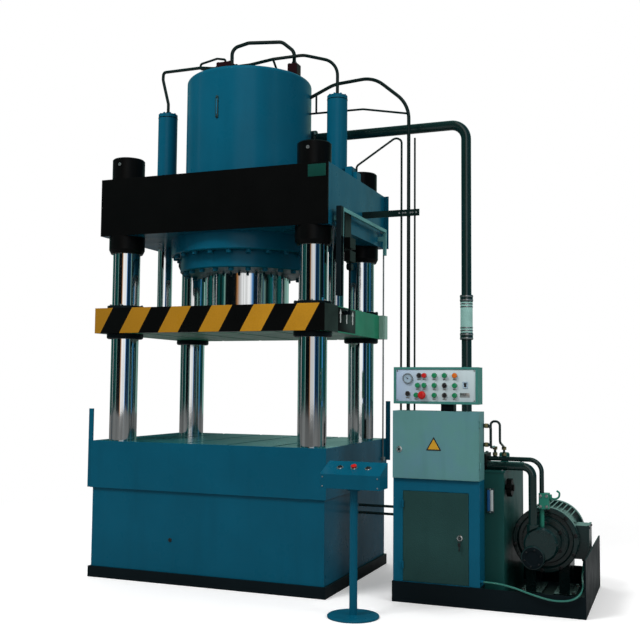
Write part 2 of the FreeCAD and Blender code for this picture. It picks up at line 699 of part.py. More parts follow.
def make_pilot_pipes():
    """Three pipes down behind the cabinet, held against a bracket on the crown's side."""
    valve_x = CROWN_WIDTH / 2 - VALVE_FROM_CROWN_SIDE + VALVE_WIDTHS[0] + VALVE_WIDTHS[1] / 2
    valve_top = CROWN_TOP + VALVE_HEIGHTS[1]
    wall = CYLINDER_RADIUS
    upper = [CROWN_TOP + rise for rise in UPPER_BRANCH_ABOVE_CROWN]
    lower = [CROWN_TOP + rise for rise in LOWER_BRANCH_ABOVE_CROWN]
    tops = [CROWN_TOP + rise for rise in TRIO_ABOVE_CROWN]
    starts = ([(valve_x, 0, valve_top), (valve_x, 0, valve_top + 60),
               (TRIO_X[0] - 55, TRIO_Y, tops[0] + 30)],
              [(wall - 20, TRIO_Y, upper[0]), (wall + 205, TRIO_Y + 10, upper[1]),
               (TRIO_X[1] - 316, TRIO_Y, upper[2])],
              [])
    pipes = []
    for start, top, bend, x, radius, port in zip(starts, tops, TRIO_BENDS, TRIO_X, TRIO_RADII,
                                                 MANIFOLD_PORTS):
        y = BRACKET_BACK + radius
        z = TANK_TOP + port
        pipes.append(tube(start + [(x, y, top), (x, y, z), (MANIFOLD_LEFT, y, z)], radius, bend))
    branch_y = BRACKET_BACK + TRIO_RADII[1]
    branch = tube([(wall - 20, TRIO_Y, lower[0]), (wall + 480, TRIO_Y, lower[0] - 8),
                   (TRIO_X[1], branch_y, lower[1] - 60)], TRIO_RADII[0], 120)
    link_x = wall + BRANCH_LINK_OUT
    link = tube([(link_x, TRIO_Y, lower[0]), (link_x, TRIO_Y, upper[0] + 18)], TRIO_RADII[0])
    pipes[1] = pipes[1].fuse([branch, link])
    keep("pilot_pipes", *[outside_cylinder(pipe) for pipe in pipes])
    bracket_z = CROWN_BOTTOM + BRACKET_ABOVE_CROWN_BOTTOM
    keep("pipe_bracket", block(CROWN_WIDTH / 2, TRIO_X[2] + BRACKET_PAST_TRIO,
                               BRACKET_BACK - BRACKET_THICKNESS, BRACKET_BACK,
                               bracket_z - BRACKET_HALF, bracket_z + BRACKET_HALF))
    pump_block_front = PUMP_PIPE_Y - PUMP_BLOCK_FRONT
    keep("tank_manifolds",
         block(MANIFOLD_LEFT, MANIFOLD_LEFT + MANIFOLD_WIDTH, MANIFOLD_FRONT,
               MANIFOLD_FRONT + MANIFOLD_DEPTH, TANK_TOP, TANK_TOP + MANIFOLD_HEIGHT),
         block(PUMP_PIPE_START - PUMP_BLOCK_WIDTH, PUMP_PIPE_START, pump_block_front,
               pump_block_front + PUMP_BLOCK_DEPTH, TANK_TOP, TANK_TOP + PUMP_BLOCK_HEIGHT))


def make_suction_pipe():
    pipe = tube([(CYLINDER_RADIUS / 2, SUCTION_Y, SUCTION_HEIGHT),
                 (SUCTION_X, SUCTION_Y, SUCTION_HEIGHT), (SUCTION_X, SUCTION_Y, SLEEVE_TOP)],
                SUCTION_RADIUS, SUCTION_BEND)
    reach = math.sqrt(CYLINDER_RADIUS ** 2 - (abs(SUCTION_Y) - WALL_FLANGE_RADIUS) ** 2)
    flange = along((CYLINDER_RADIUS / 2, SUCTION_Y, SUCTION_HEIGHT), (1, 0, 0),
                   reach + WALL_FLANGE - CYLINDER_RADIUS / 2, WALL_FLANGE_RADIUS)
    coupling_radius = SUCTION_RADIUS + COUPLING_WALL
    pipe = pipe.fuse([flange, upright(SUCTION_X, SUCTION_Y, SLEEVE_TOP,
                                      SLEEVE_TOP + COUPLING_HEIGHT, coupling_radius)])
    lower = upright(SUCTION_X, SUCTION_Y, TANK_TOP, SLEEVE_BOTTOM, SUCTION_RADIUS)
    lower = lower.fuse([upright(SUCTION_X, SUCTION_Y, SLEEVE_BOTTOM - COUPLING_HEIGHT,
                                SLEEVE_BOTTOM, coupling_radius),
                        upright(SUCTION_X, SUCTION_Y, TANK_TOP, TANK_TOP + WALL_FLANGE,
                                WALL_FLANGE_RADIUS)])
    keep("suction_pipe", outside_cylinder(pipe), lower)
    keep("suction_sleeve", upright(SUCTION_X, SUCTION_Y, SLEEVE_BOTTOM, SLEEVE_TOP,
                                   SUCTION_RADIUS + SLEEVE_WALL))


def make_guards():
    """Sensor posts at the corners of the bed, and the bar and rail for the limit switches."""
    end = BED_DEPTH / 2
    outer = BED_WIDTH / 2 + APRON_PROUD
    crown_side = CROWN_WIDTH / 2
    keep("sensor_posts",
         block(-outer - POST_WIDTH, -outer, -end, -end + POST_THICKNESS, APRON_BOTTOM,
               TABLE_TOP + LEFT_POST_ABOVE_TABLE),
         block(outer, outer + POST_WIDTH, end - POST_THICKNESS, end,
               TABLE_TOP - RIGHT_POST_BELOW_TABLE, TABLE_TOP + RIGHT_POST_ABOVE_TABLE),
         block(crown_side, crown_side + POST_WIDTH, CROWN_DEPTH / 2 - POST_THICKNESS,
               CROWN_DEPTH / 2, CROWN_BOTTOM, CROWN_TOP))
    middle = crown_side + BAR_FROM_CROWN
    inner = middle - BAR_SIZE / 2
    outer = middle + BAR_SIZE / 2
    bar_bottom = BAR_TOP - BAR_SIZE
    frame = block(inner, outer, BAR_FRONT, BAR_BACK, bar_bottom, BAR_TOP)
    for y in (BAR_FRONT, BAR_BACK - BAR_SIZE):
        frame = frame.fuse([block(inner, outer, y, y + BAR_SIZE, BAR_FOOT, bar_bottom),
                            block(crown_side, inner, y, y + BAR_SIZE, BAR_STAY_Z,
                                  BAR_STAY_Z + BAR_STAY_HEIGHT)])
    keep("limit_frame", frame.removeSplitter())
    rail_back = BAR_FRONT
    rail_front = rail_back - RAIL_DEPTH
    rail_bottom = SLIDE_TOP + RAIL_ABOVE_SLIDE
    rail = block(middle - RAIL_WIDTH / 2, middle + RAIL_WIDTH / 2, rail_front, rail_back,
                 rail_bottom, BAR_TOP)
    groove = block(middle - RAIL_WIDTH / 2 + RAIL_WEB, middle + RAIL_WIDTH / 2 + 1,
                   rail_front + RAIL_WEB, rail_back - RAIL_WEB, rail_bottom - 1, BAR_FOOT)
    keep("limit_rail", rail.cut(groove))


def make_limit_switches():
    """Two roller switches on a hanger under the bar, beside the cam's path."""
    middle = CROWN_WIDTH / 2 + BAR_FROM_CROWN
    bar_bottom = BAR_TOP - BAR_SIZE
    face = middle + HANGER_THICKNESS / 2
    switches = block(middle - HANGER_THICKNESS / 2, face, SWITCH_FRONT, SWITCH_BACK,
                     SWITCH_BOTTOMS[0], bar_bottom)
    rod_x = SLIDE_WIDTH / 2 + STRIKER_FROM_SLIDE
    roller_y = STRIKER_Y - CLAMP_HALF[1] - SWITCH_ROLLER_GAP - SWITCH_ROLLER_RADIUS
    for bottom in SWITCH_BOTTOMS:
        body = block(face, face + SWITCH_WIDTH, SWITCH_FRONT, SWITCH_BACK - 10, bottom,
                     bottom + SWITCH_HEIGHT)
        body = body.makeFillet(4, edges_at(body, upright_edge))
        roller_z = bottom + SWITCH_HEIGHT / 2
        shaft = along((rod_x - 8, roller_y, roller_z), (1, 0, 0), face + 20 - rod_x, 4)
        roller = along((rod_x - 8, roller_y, roller_z), (1, 0, 0), 16, SWITCH_ROLLER_RADIUS)
        arm = block(face, face + 8, SWITCH_BACK - 20, roller_y + 6, roller_z - 6, roller_z + 6)
        switches = switches.fuse([body, shaft, roller, arm])
    keep("limit_switches", switches.removeSplitter())


def make_striker():
    """Cam rod that stands on the slide and trips the limit switches."""
    side = SLIDE_WIDTH / 2
    x = side + STRIKER_FROM_SLIDE
    half_x, half_y, half_z = CLAMP_HALF
    clamp_z = SLIDE_TOP + CLAMP_ABOVE_SLIDE
    bracket = block(side, x + 16, STRIKER_Y - 20, STRIKER_Y + 20, SLIDE_TOP - 60, SLIDE_TOP - 30)
    rod = upright(x, STRIKER_Y, SLIDE_TOP - 30, SLIDE_TOP + STRIKER_LENGTH, STRIKER_RADIUS)
    clamp = block(x - half_x, x + half_x, STRIKER_Y - half_y, STRIKER_Y + half_y,
                  clamp_z - half_z, clamp_z + half_z)
    clamp = clamp.makeChamfer(half_y / 2, edges_at(clamp, lambda edge: edge.BoundBox.XLength > half_x
                                                   and edge.BoundBox.YMax < STRIKER_Y))
    keep("striker_rod", bracket.fuse([rod, clamp]))


def guide_rod_place():
    x = BED_WIDTH / 2 + APRON_PROUD + GUIDE_ROD_OFF_APRON
    return x, SLIDE_DEPTH / 2 - GUIDE_ROD_FROM_SLIDE_BACK


def make_guide_rod():
    """Thin rod from the bed's side to the crown's side that the slide's forked ear runs on."""
    x, y = guide_rod_place()
    foot_z = TABLE_TOP - GUIDE_FOOT_BELOW_TABLE
    head_z = CROWN_BOTTOM + GUIDE_HEAD_ABOVE_CROWN_BOTTOM
    rod = upright(x, y, foot_z, head_z, GUIDE_ROD_RADIUS)
    foot = block(x - GUIDE_ROD_OFF_APRON, x + 14, y - 28, y + 28, foot_z - GUIDE_FOOT_THICKNESS, foot_z)
    head = block(CROWN_WIDTH / 2, x + 14, y - 22, y + 22, head_z, head_z + 18)
    keep("guide_rod", rod.fuse([foot, head]))


def make_tray():
    outer = block(TRAY_LEFT, TRAY_RIGHT, TRAY_FRONT, TRAY_BACK, 0, TRAY_LIP)
    inner = block(TRAY_LEFT + TRAY_WALL, TRAY_RIGHT - TRAY_WALL, TRAY_FRONT + TRAY_WALL,
                  TRAY_BACK - TRAY_WALL, TRAY_WALL, TRAY_LIP + 1)
    wall = block(TRAY_RIGHT - TRAY_WALL, TRAY_RIGHT, TRAY_FRONT, TRAY_BACK,
                 TRAY_LIP, TRAY_END_HEIGHT)
    keep("power_tray", outer.cut(inner).fuse(wall).removeSplitter())
    keep("cabinet_plinth", block(TRAY_LEFT + TRAY_WALL, CABINET_RIGHT, TRAY_FRONT + TRAY_WALL,
                                 CABINET_BACK, TRAY_WALL, TRAY_LIP))


def make_tank():
    keep("oil_tank", block(TANK_LEFT, TANK_RIGHT, TANK_FRONT, TANK_BACK, TRAY_WALL,
                           TANK_TOP - TANK_LID))
    lid = block(TANK_LEFT - 8, TANK_RIGHT + 8, TANK_FRONT - 6, TANK_BACK + 8,
                TANK_TOP - TANK_LID, TANK_TOP)
    breather = turned([(0, TANK_TOP - 1), (BREATHER_RADIUS - 10, TANK_TOP - 1),
                       (BREATHER_RADIUS - 10, TANK_TOP + 26), (BREATHER_RADIUS, TANK_TOP + 30),
                       (BREATHER_RADIUS, TANK_TOP + 72), (BREATHER_RADIUS - 8, TANK_TOP + 84),
                       (0, TANK_TOP + 84)], TANK_RIGHT - 130, TANK_BACK - 130)
    keep("tank_lid", lid.fuse(breather))
    gauge_left = CABINET_RIGHT + GAUGE_FROM_CABINET
    gauge_top = TANK_TOP - GAUGE_DROP
    gauge = block(gauge_left, gauge_left + GAUGE_WIDTH, TANK_FRONT - 12, TANK_FRONT,
                  gauge_top - GAUGE_HEIGHT, gauge_top)
    keep("level_gauge", gauge.makeChamfer(4, edges_at(gauge, lambda edge:
                                                      edge.BoundBox.YMax < TANK_FRONT - 11)))


def make_handwheel():
    """Star knob with scalloped lobes on the tank's side."""
    start = (TANK_RIGHT, WHEEL_Y, WHEEL_Z)
    wheel = along((TANK_RIGHT + WHEEL_STEM, WHEEL_Y, WHEEL_Z), (1, 0, 0), WHEEL_WIDTH, WHEEL_RADIUS)
    notch = along((TANK_RIGHT, WHEEL_Y, WHEEL_Z + WHEEL_RADIUS + WHEEL_NOTCH / 3), (1, 0, 0),
                  WHEEL_WIDTH + 2 * WHEEL_STEM, WHEEL_NOTCH)
    for lobe in range(WHEEL_LOBES):
        cutter = notch.copy()
        cutter.rotate(Vector(*start), Vector(1, 0, 0), 360 * lobe / WHEEL_LOBES)
        wheel = wheel.cut(cutter)
    wheel = wheel.fuse([along(start, (1, 0, 0), WHEEL_STEM + 1, 18),
                        along((TANK_RIGHT + WHEEL_STEM, WHEEL_Y, WHEEL_Z), (1, 0, 0),
                              WHEEL_WIDTH + 14, 24)])
    keep("tank_handwheel", wheel)


def around_motor(shape, turns):
    """Copy a shape that stands over the motor's axis to other angles about it."""
    copies = []
    for turn in turns:
        copy = shape.copy()
        copy.rotate(Vector(MOTOR_X, 0, MOTOR_HEIGHT), Vector(0, 1, 0), turn)
        copies.append(copy)
    return copies


def make_motor():
    """Ribbed barrel between a dished end bell and a slotted fan cover, on two feet."""
    end = MOTOR_FRONT + MOTOR_LENGTH
    bell_front = MOTOR_FRONT - BELL_DEPTH
    cover_end = end + FAN_COVER_LENGTH
    barrel = along((MOTOR_X, MOTOR_FRONT, MOTOR_HEIGHT), (0, 1, 0), MOTOR_LENGTH, MOTOR_RADIUS)
    rib = block(MOTOR_X - RIB_THICKNESS / 2, MOTOR_X + RIB_THICKNESS / 2, MOTOR_FRONT + RIB_INSET,
                end - RIB_INSET, MOTOR_HEIGHT + MOTOR_RADIUS - 5, MOTOR_HEIGHT + RIB_RADIUS)
    step = 360 / RIB_COUNT
    turns = [step * index for index in range(RIB_COUNT)]
    ribs = around_motor(rib, [turn for turn in turns if not 48 < turn < 228])
    bell = turned_forward([(0, MOTOR_FRONT), (BELL_RADIUS, MOTOR_FRONT),
                           (BELL_RADIUS, bell_front + BELL_CHAMFER),
                           (BELL_RADIUS - BELL_CHAMFER, bell_front),
                           (BELL_RADIUS - BELL_RIM, bell_front),
                           (BELL_RADIUS - BELL_RIM - 10, bell_front + BELL_RECESS),
                           (PUMP_FLANGE_RADIUS + 16, bell_front + BELL_RECESS),
                           (PUMP_FLANGE_RADIUS + 8, bell_front), (0, bell_front)],
                          MOTOR_X, MOTOR_HEIGHT)
    cover = turned_forward([(0, end), (RIB_RADIUS, end), (RIB_RADIUS, cover_end - FAN_COVER_ROUND),
                            (RIB_RADIUS - FAN_COVER_ROUND / 3, cover_end - FAN_COVER_ROUND / 3),
                            (RIB_RADIUS - FAN_COVER_ROUND, cover_end), (0, cover_end)],
                           MOTOR_X, MOTOR_HEIGHT)
    slot = block(MOTOR_X - 7, MOTOR_X + 7, cover_end - 12, cover_end + 1, MOTOR_HEIGHT + 70,
                 MOTOR_HEIGHT + RIB_RADIUS - FAN_COVER_ROUND - 14)
    cover = cover.cut(around_motor(slot, [360 * index / FAN_SLOTS for index in range(FAN_SLOTS)]))
    feet = []
    for x in (MOTOR_X - FOOT_SPACING / 2, MOTOR_X + FOOT_SPACING / 2):
        feet.append(block(x - FOOT_WIDTH / 2, x + FOOT_WIDTH / 2, MOTOR_FRONT + FOOT_INSET,
                          end - FOOT_INSET, TRAY_WALL, MOTOR_HEIGHT - MOTOR_RADIUS / 2))
        feet.append(block(x - FOOT_WIDTH, x + FOOT_WIDTH, MOTOR_FRONT + FOOT_INSET - 20,
                          end - FOOT_INSET + 20, TRAY_WALL, TRAY_WALL + FOOT_PLATE))
    keep("motor", barrel.fuse(ribs + feet + [bell, cover]))


def make_terminal_box():
    side = MOTOR_X + MOTOR_RADIUS
    front = MOTOR_FRONT + TERMINAL_FROM_BELL
    back = front + TERMINAL_LENGTH
    bottom = MOTOR_HEIGHT - TERMINAL_HEIGHT / 2 - TERMINAL_DROP
    top = bottom + TERMINAL_HEIGHT
    outer = side + TERMINAL_PROUD
    box = block(side - 30, outer - TERMINAL_LID, front, back, bottom, top)
    lid = block(outer - TERMINAL_LID, outer, front - TERMINAL_LID_PROUD, back + TERMINAL_LID_PROUD,
                bottom - TERMINAL_LID_PROUD, top + TERMINAL_LID_PROUD)
    gland_x, gland_y, gland_z = CONDUIT_ROUTE[-1]
    gland = upright(gland_x, gland_y, gland_z, bottom, CABLE_GLAND_RADIUS)
    barrel = along((MOTOR_X, MOTOR_FRONT, MOTOR_HEIGHT), (0, 1, 0), MOTOR_LENGTH,
                   MOTOR_RADIUS + BORE_FIT)
    keep("motor_terminal_box", box.fuse([lid, gland]).cut(barrel).cut(conduit()))


def make_pump():
    """Stepped piston pump on the motor's bell, with its control head below the axis."""
    flange_back = MOTOR_FRONT - BELL_DEPTH
    flange_front = flange_back - PUMP_FLANGE
    neck_front = flange_front - PUMP_NECK
    front = neck_front - PUMP_BODY
    body = turned_forward([(0, flange_back), (PUMP_FLANGE_RADIUS, flange_back),
                           (PUMP_FLANGE_RADIUS, flange_front), (PUMP_NECK_RADIUS, flange_front),
                           (PUMP_NECK_RADIUS, neck_front), (PUMP_RADIUS, neck_front),
                           (PUMP_RADIUS, front + PUMP_CHAMFER), (PUMP_RADIUS - PUMP_CHAMFER, front),
                           (0, front)], MOTOR_X, MOTOR_HEIGHT)
    head_x = MOTOR_X - PUMP_HEAD_SHIFT
    head_z = MOTOR_HEIGHT - PUMP_HEAD_DROP
    head_front = front - PUMP_HEAD_PROUD
    head = turned_forward([(0, head_front + PUMP_HEAD_LENGTH), (PUMP_HEAD_RADIUS, head_front
                                                                + PUMP_HEAD_LENGTH),
                           (PUMP_HEAD_RADIUS, head_front + 5), (PUMP_HEAD_RADIUS - 5, head_front),
                           (0, head_front)], head_x, head_z)
    keep("pump", body.fuse(head))


def make_pump_pipes():
    """Thick delivery pipe to the pump's side, and the return pipe to the relief valve."""
    x = MOTOR_X - PUMP_PIPE_OFFSET
    pipe_z = TANK_TOP + PUMP_PIPE_ABOVE_TANK
    return_y = PUMP_PIPE_Y + RETURN_PIPE_BACK
    return_z = pipe_z + RETURN_PIPE_ABOVE
    casing = along((MOTOR_X, PUMP_PIPE_Y - 2 * PUMP_PIPE_RADIUS, MOTOR_HEIGHT), (0, 1, 0),
                   PUMP_BODY, PUMP_RADIUS + BORE_FIT)
    thick = tube([(PUMP_PIPE_START, PUMP_PIPE_Y, pipe_z), (x, PUMP_PIPE_Y, pipe_z),
                  (x, PUMP_PIPE_Y, MOTOR_HEIGHT)], PUMP_PIPE_RADIUS, PUMP_PIPE_BEND)
    foot = upright(x, PUMP_PIPE_Y, MOTOR_HEIGHT, MOTOR_HEIGHT + PUMP_RADIUS + 16,
                   PUMP_PIPE_RADIUS + 14)
    valve_x = MOTOR_X
    thin = tube([(PUMP_PIPE_START, return_y, return_z), (valve_x, return_y, return_z),
                 (valve_x, return_y, RELIEF_VALVE_TOP)], RELIEF_PIPE_RADIUS, RETURN_PIPE_BEND)
    keep("pump_pipes", thick.fuse(foot).cut(casing), thin)

    half_width = RELIEF_VALVE_WIDTH / 2
    half_depth = RELIEF_VALVE_DEPTH / 2
    middle = valve_x + half_width / 2
    valve = block(middle - half_width, middle + half_width, return_y - half_depth,
                  return_y + half_depth, RELIEF_VALVE_BOTTOM, RELIEF_VALVE_TOP)
    valve = valve.makeChamfer(BLOCK_CHAMFER, edges_at(valve, upright_edge))
    bonnet_radius, bonnet_length = RELIEF_BONNET
    bonnet = along((middle + half_width, return_y, RELIEF_VALVE_TOP - 32), (1, 0, 0),
                   bonnet_length, bonnet_radius)
    lever_x = middle + half_width
    lever = tube([(lever_x, return_y, RELIEF_VALVE_TOP - 30),
                  (lever_x + 36, return_y, RELIEF_VALVE_TOP - 44),
                  (lever_x + 70, return_y, RELIEF_VALVE_TOP - 28),
                  (lever_x + 74, return_y, RELIEF_VALVE_TOP + 8),
                  (lever_x + 52, return_y, RELIEF_VALVE_TOP + 20)], LEVER_RADIUS)
    stub = upright(valve_x, return_y, MOTOR_HEIGHT, RELIEF_VALVE_BOTTOM + 1, RELIEF_PIPE_RADIUS)
    keep("relief_valve", valve.fuse([bonnet, lever, stub]).cut(casing))


def make_gauge_pipes():
    """Small bent pipes from the cabinet's side down to the return pipe."""
    return_y = PUMP_PIPE_Y + RETURN_PIPE_BACK
    pipe_top = (TANK_TOP + PUMP_PIPE_ABOVE_TANK + RETURN_PIPE_ABOVE + RELIEF_PIPE_RADIUS + BORE_FIT)
    near_x = CABINET_RIGHT + GAUGE_PIPE_OUT[0]
    far_x = CABINET_RIGHT + GAUGE_PIPE_OUT[1]
    stub_z = GAUGE_PIPE_Z - GAUGE_STUB_DROP
    near = tube([(CABINET_RIGHT, GAUGE_PIPE_Y, GAUGE_PIPE_Z), (near_x, GAUGE_PIPE_Y, GAUGE_PIPE_Z),
                 (near_x, GAUGE_PIPE_Y, stub_z - 20), (near_x, return_y, pipe_top + 70),
                 (near_x, return_y, pipe_top)], GAUGE_PIPE_RADIUS, 30)
    arch = tube([(near_x, GAUGE_PIPE_Y, GAUGE_PIPE_Z - 30), (near_x, GAUGE_PIPE_Y, GAUGE_PIPE_Z + 34),
                 (far_x, GAUGE_PIPE_Y, GAUGE_PIPE_Z + 34), (far_x, GAUGE_PIPE_Y, stub_z + 20),
                 (far_x, return_y, pipe_top + 70), (far_x, return_y, pipe_top)],
                GAUGE_PIPE_RADIUS - 1, 32)
    stubs = [along((CABINET_RIGHT, GAUGE_PIPE_Y, z), (1, 0, 0), 40, GAUGE_STUB_RADIUS)
             for z in (GAUGE_PIPE_Z, stub_z)]
    tap = along((CABINET_RIGHT, GAUGE_PIPE_Y, stub_z), (1, 0, 0), GAUGE_PIPE_OUT[0], GAUGE_PIPE_RADIUS)
    bosses = [upright(x, return_y, pipe_top, pipe_top + GAUGE_BOSS_HEIGHT, GAUGE_STUB_RADIUS)
              for x in (near_x, far_x)]
    keep("gauge_pipes", near.fuse([arch, tap] + stubs + bosses))


def make_cabinet():
    inside_left = CABINET_LEFT + CABINET_WALL
    inside_right = CABINET_RIGHT - CABINET_WALL
    inside_back = CABINET_BACK - CABINET_WALL
    lower = block(CABINET_LEFT, CABINET_RIGHT, CABINET_FRONT, CABINET_BACK, TRAY_LIP, LOWER_TOP)
    lower = lower.cut(block(inside_left, inside_right, CABINET_FRONT + CABINET_WALL, inside_back,
                            TRAY_LIP + CABINET_WALL, LOWER_TOP - CABINET_WALL))
    lower = lower.cut(block(LOWER_DOOR_LEFT - DOOR_GAP, LOWER_DOOR_RIGHT + DOOR_GAP,
                            CABINET_FRONT - 1, CABINET_FRONT + CABINET_WALL + 1,
                            TRAY_LIP + CABINET_WALL, LOWER_DOOR_TOP + DOOR_GAP))
    exit_x, exit_y, exit_z = CONDUIT_ROUTE[0]
    gland = along((CABINET_RIGHT, exit_y, exit_z), (1, 0, 0), exit_x - CABINET_RIGHT,
                  CABLE_GLAND_RADIUS)
    keep("cabinet_lower", lower.fuse(gland).cut(conduit()))
    door = block(LOWER_DOOR_LEFT, LOWER_DOOR_RIGHT, CABINET_FRONT,
                 CABINET_FRONT + LOWER_DOOR_THICKNESS,
                 TRAY_LIP + CABINET_WALL + DOOR_GAP, LOWER_DOOR_TOP)
    lock = along((LOWER_DOOR_RIGHT - LOWER_LOCK_FROM_EDGE, CABINET_FRONT + 5,
                  LOWER_DOOR_TOP - LOWER_LOCK_BELOW_TOP), (0, -1, 0), LOCK_PROUD + 5, LOCK_RADIUS)
    keep("lower_door", door.fuse(lock))
    upper = block(CABINET_LEFT, CABINET_RIGHT, CABINET_FRONT, CABINET_BACK, LOWER_TOP, UPPER_TOP)
    keep("cabinet_upper", upper.cut(block(inside_left, inside_right, CABINET_FRONT - 1, inside_back,
                                          LOWER_TOP + CABINET_WALL, UPPER_TOP - CABINET_WALL)))
    door_back = CABINET_FRONT - RUNNING_GAP
    door = block(CABINET_LEFT, CABINET_RIGHT, door_back - UPPER_DOOR_THICKNESS, door_back,
                 LOWER_TOP + DOOR_GAP, UPPER_TOP)
    lock = along((CABINET_LEFT + UPPER_LOCK[0], door_back - 5, LOWER_TOP + UPPER_LOCK[1]), (0, -1, 0),
                 UPPER_DOOR_THICKNESS + 2, LOCK_RADIUS)
    keep("upper_door", door.fuse(lock))


def make_cabinet_hinges():
    """Knuckles on the cabinet that the two doors turn about."""
    x, y = UPPER_HINGE
    for z in (LOWER_TOP + UPPER_HINGE_INSETS[0], UPPER_TOP - UPPER_HINGE_INSETS[1]):
        leaf = block(CABINET_RIGHT, x - 3, CABINET_FRONT, CABINET_FRONT + 30, z, z + HINGE_LENGTH)
        strap = block(CABINET_RIGHT + RUNNING_GAP, x - 3, y, CABINET_FRONT + 30, z, z + HINGE_LENGTH)
        pin = upright(x, y, z, z + HINGE_LENGTH, HINGE_RADIUS - 1)
        keep("cabinet_hinges", leaf.fuse(strap).fuse(pin).removeSplitter())
    x, y = LOWER_HINGE
    for z in (TRAY_LIP + LOWER_HINGE_INSETS[0], LOWER_DOOR_TOP - LOWER_HINGE_INSETS[1]):
        leaf = block(x - 24, x - 1.5, CABINET_FRONT - 3, CABINET_FRONT, z, z + HINGE_LENGTH)
        pin = upright(x, y, z, z + HINGE_LENGTH, HINGE_RADIUS)
        keep("cabinet_hinges", leaf.fuse(pin).removeSplitter())


def make_panel():
    """Case with a recessed face, its buttons, selectors, emergency stop and dial."""
    front = CABINET_FRONT - UPPER_DOOR_THICKNESS
    neck_left = CABINET_RIGHT - NECK_FROM_RIGHT - NECK_WIDTH
    keep("panel_neck", block(neck_left, neck_left + NECK_WIDTH, CABINET_FRONT + 20,
                             CABINET_FRONT + 110, UPPER_TOP, PANEL_BOTTOM))
    case = block(PANEL_LEFT, PANEL_RIGHT, front, front + PANEL_DEPTH, PANEL_BOTTOM, PANEL_TOP)
    face = front + PANEL_RECESS
    keep("control_panel", case.cut(block(PANEL_LEFT + PANEL_BEZEL, PANEL_RIGHT - PANEL_BEZEL,
                                         front - 1, face, PANEL_BOTTOM + PANEL_BEZEL,
                                         PANEL_TOP - PANEL_BEZEL)))

    def control(place, length, radius):
        x, z = place
        return along((PANEL_LEFT + x, face, PANEL_BOTTOM + z), (0, -1, 0), length, radius)

    keep("panel_buttons", *[control(place, 22, BUTTON_RADIUS) for place in PANEL_BUTTONS],
         *[control(place, 18, SELECTOR_RADIUS) for place in PANEL_SELECTORS],
         control(EMERGENCY_STOP, 36, 24), control(PANEL_DIAL, 14, 40))


def make_stand():
    edge = STAND_FOOT_RADIUS - STAND_FOOT_CHAMFER
    keep("stand_pole",
         turned([(0, 0), (STAND_FOOT_RADIUS, 0),
                 (STAND_FOOT_RADIUS, STAND_FOOT_HEIGHT - STAND_FOOT_CHAMFER),
                 (edge, STAND_FOOT_HEIGHT), (STAND_POLE_RADIUS, STAND_FOOT_HEIGHT),
                 (STAND_POLE_RADIUS, STAND_BOX_BOTTOM - STAND_COLLAR_HEIGHT),
                 (STAND_COLLAR_RADIUS, STAND_BOX_BOTTOM - STAND_COLLAR_HEIGHT),
                 (STAND_COLLAR_RADIUS, STAND_BOX_BOTTOM), (0, STAND_BOX_BOTTOM)],
                STAND_X, STAND_Y))
    front = STAND_Y - STAND_BOX_DEPTH / 2
    back = STAND_Y + STAND_BOX_DEPTH / 2
    left = STAND_X - STAND_BOX_WIDTH / 2
    outline = [Vector(left, front, STAND_BOX_BOTTOM), Vector(left, back, STAND_BOX_BOTTOM),
               Vector(left, back, STAND_BOX_BACK_TOP), Vector(left, front, STAND_BOX_FRONT_TOP)]
    box = Part.Face(Part.makePolygon(outline + outline[:1])).extrude(Vector(STAND_BOX_WIDTH, 0, 0))
    keep("stand_box", box.makeFillet(STAND_BOX_ROUND, edges_at(box, upright_edge)))
    slope = Vector(0, STAND_BOX_DEPTH, STAND_BOX_BACK_TOP - STAND_BOX_FRONT_TOP).normalize()
    normal = (0, -slope.z, slope.y)
    middle_z = (STAND_BOX_FRONT_TOP + STAND_BOX_BACK_TOP) / 2
    for offset, radius, height in STAND_BUTTONS:
        keep("stand_buttons", along((STAND_X + offset, STAND_Y, middle_z), normal, height, radius))


def make_link_pipes():
    """Two thin pipes from the bed's side to the tank, for the ejector under the table."""
    start = BED_WIDTH / 2
    for z in LINK_PIPE_HEIGHTS:
        keep("link_pipes", along((start, LINK_PIPE_Y, z), (1, 0, 0), TANK_LEFT - start,
                                 LINK_PIPE_RADIUS))


def conduit():
    """Cable conduit from the cabinet's side to the gland under the terminal box."""
    return tube(CONDUIT_ROUTE, CONDUIT_RADIUS)


def make_conduit():
    cable = conduit()
    keep("motor_conduit", cable)
    route = [Vector(*point) for point in CONDUIT_ROUTE]
    print("conduit bend radii:", [round(radius) for *_, radius in bends(route)])
    print("conduit length:", round(cable.Volume / (math.pi * CONDUIT_RADIUS ** 2)))


def export_nodes():
    os.makedirs("parts", exist_ok=True)
    for node, solids in NODES.items():
        shape = solids[0] if len(solids) == 1 else Part.makeCompound(solids)
        if not shape.isValid():
            raise ValueError(f"{node} is not a valid shape")
        shape.exportStep(f"parts/{node}.step")
        print(f"{node}: {len(shape.Solids)} solid(s), {shape.Volume / 1e9:.4f} cubic metres")


make_bed()
make_columns()
make_crown()
make_main_cylinder()
make_slide()
make_return_cylinders()
make_valve_blocks()
make_top_pipes()
make_pilot_pipes()
make_suction_pipe()
make_guards()
make_limit_switches()
make_striker()
make_guide_rod()
make_tray()
make_tank()
make_handwheel()
make_motor()
make_terminal_box()
make_pump()
make_pump_pipes()
make_gauge_pipes()
make_cabinet()
make_cabinet_hinges()
make_panel()
make_stand()
make_link_pipes()
make_conduit()
export_nodes()
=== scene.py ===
"""Looks for a four-column hydraulic press with its power unit, cabinet and two-hand stand.

Laid out as an add-on and run as a script. Metres, +Z up, the operator stands on the -Y side.
"""
import math

import bmesh
import bpy
from bpy.props import FloatProperty, FloatVectorProperty, IntProperty, PointerProperty
from bpy.types import Operator, Panel, PropertyGroup
from mathutils import Matrix, Vector


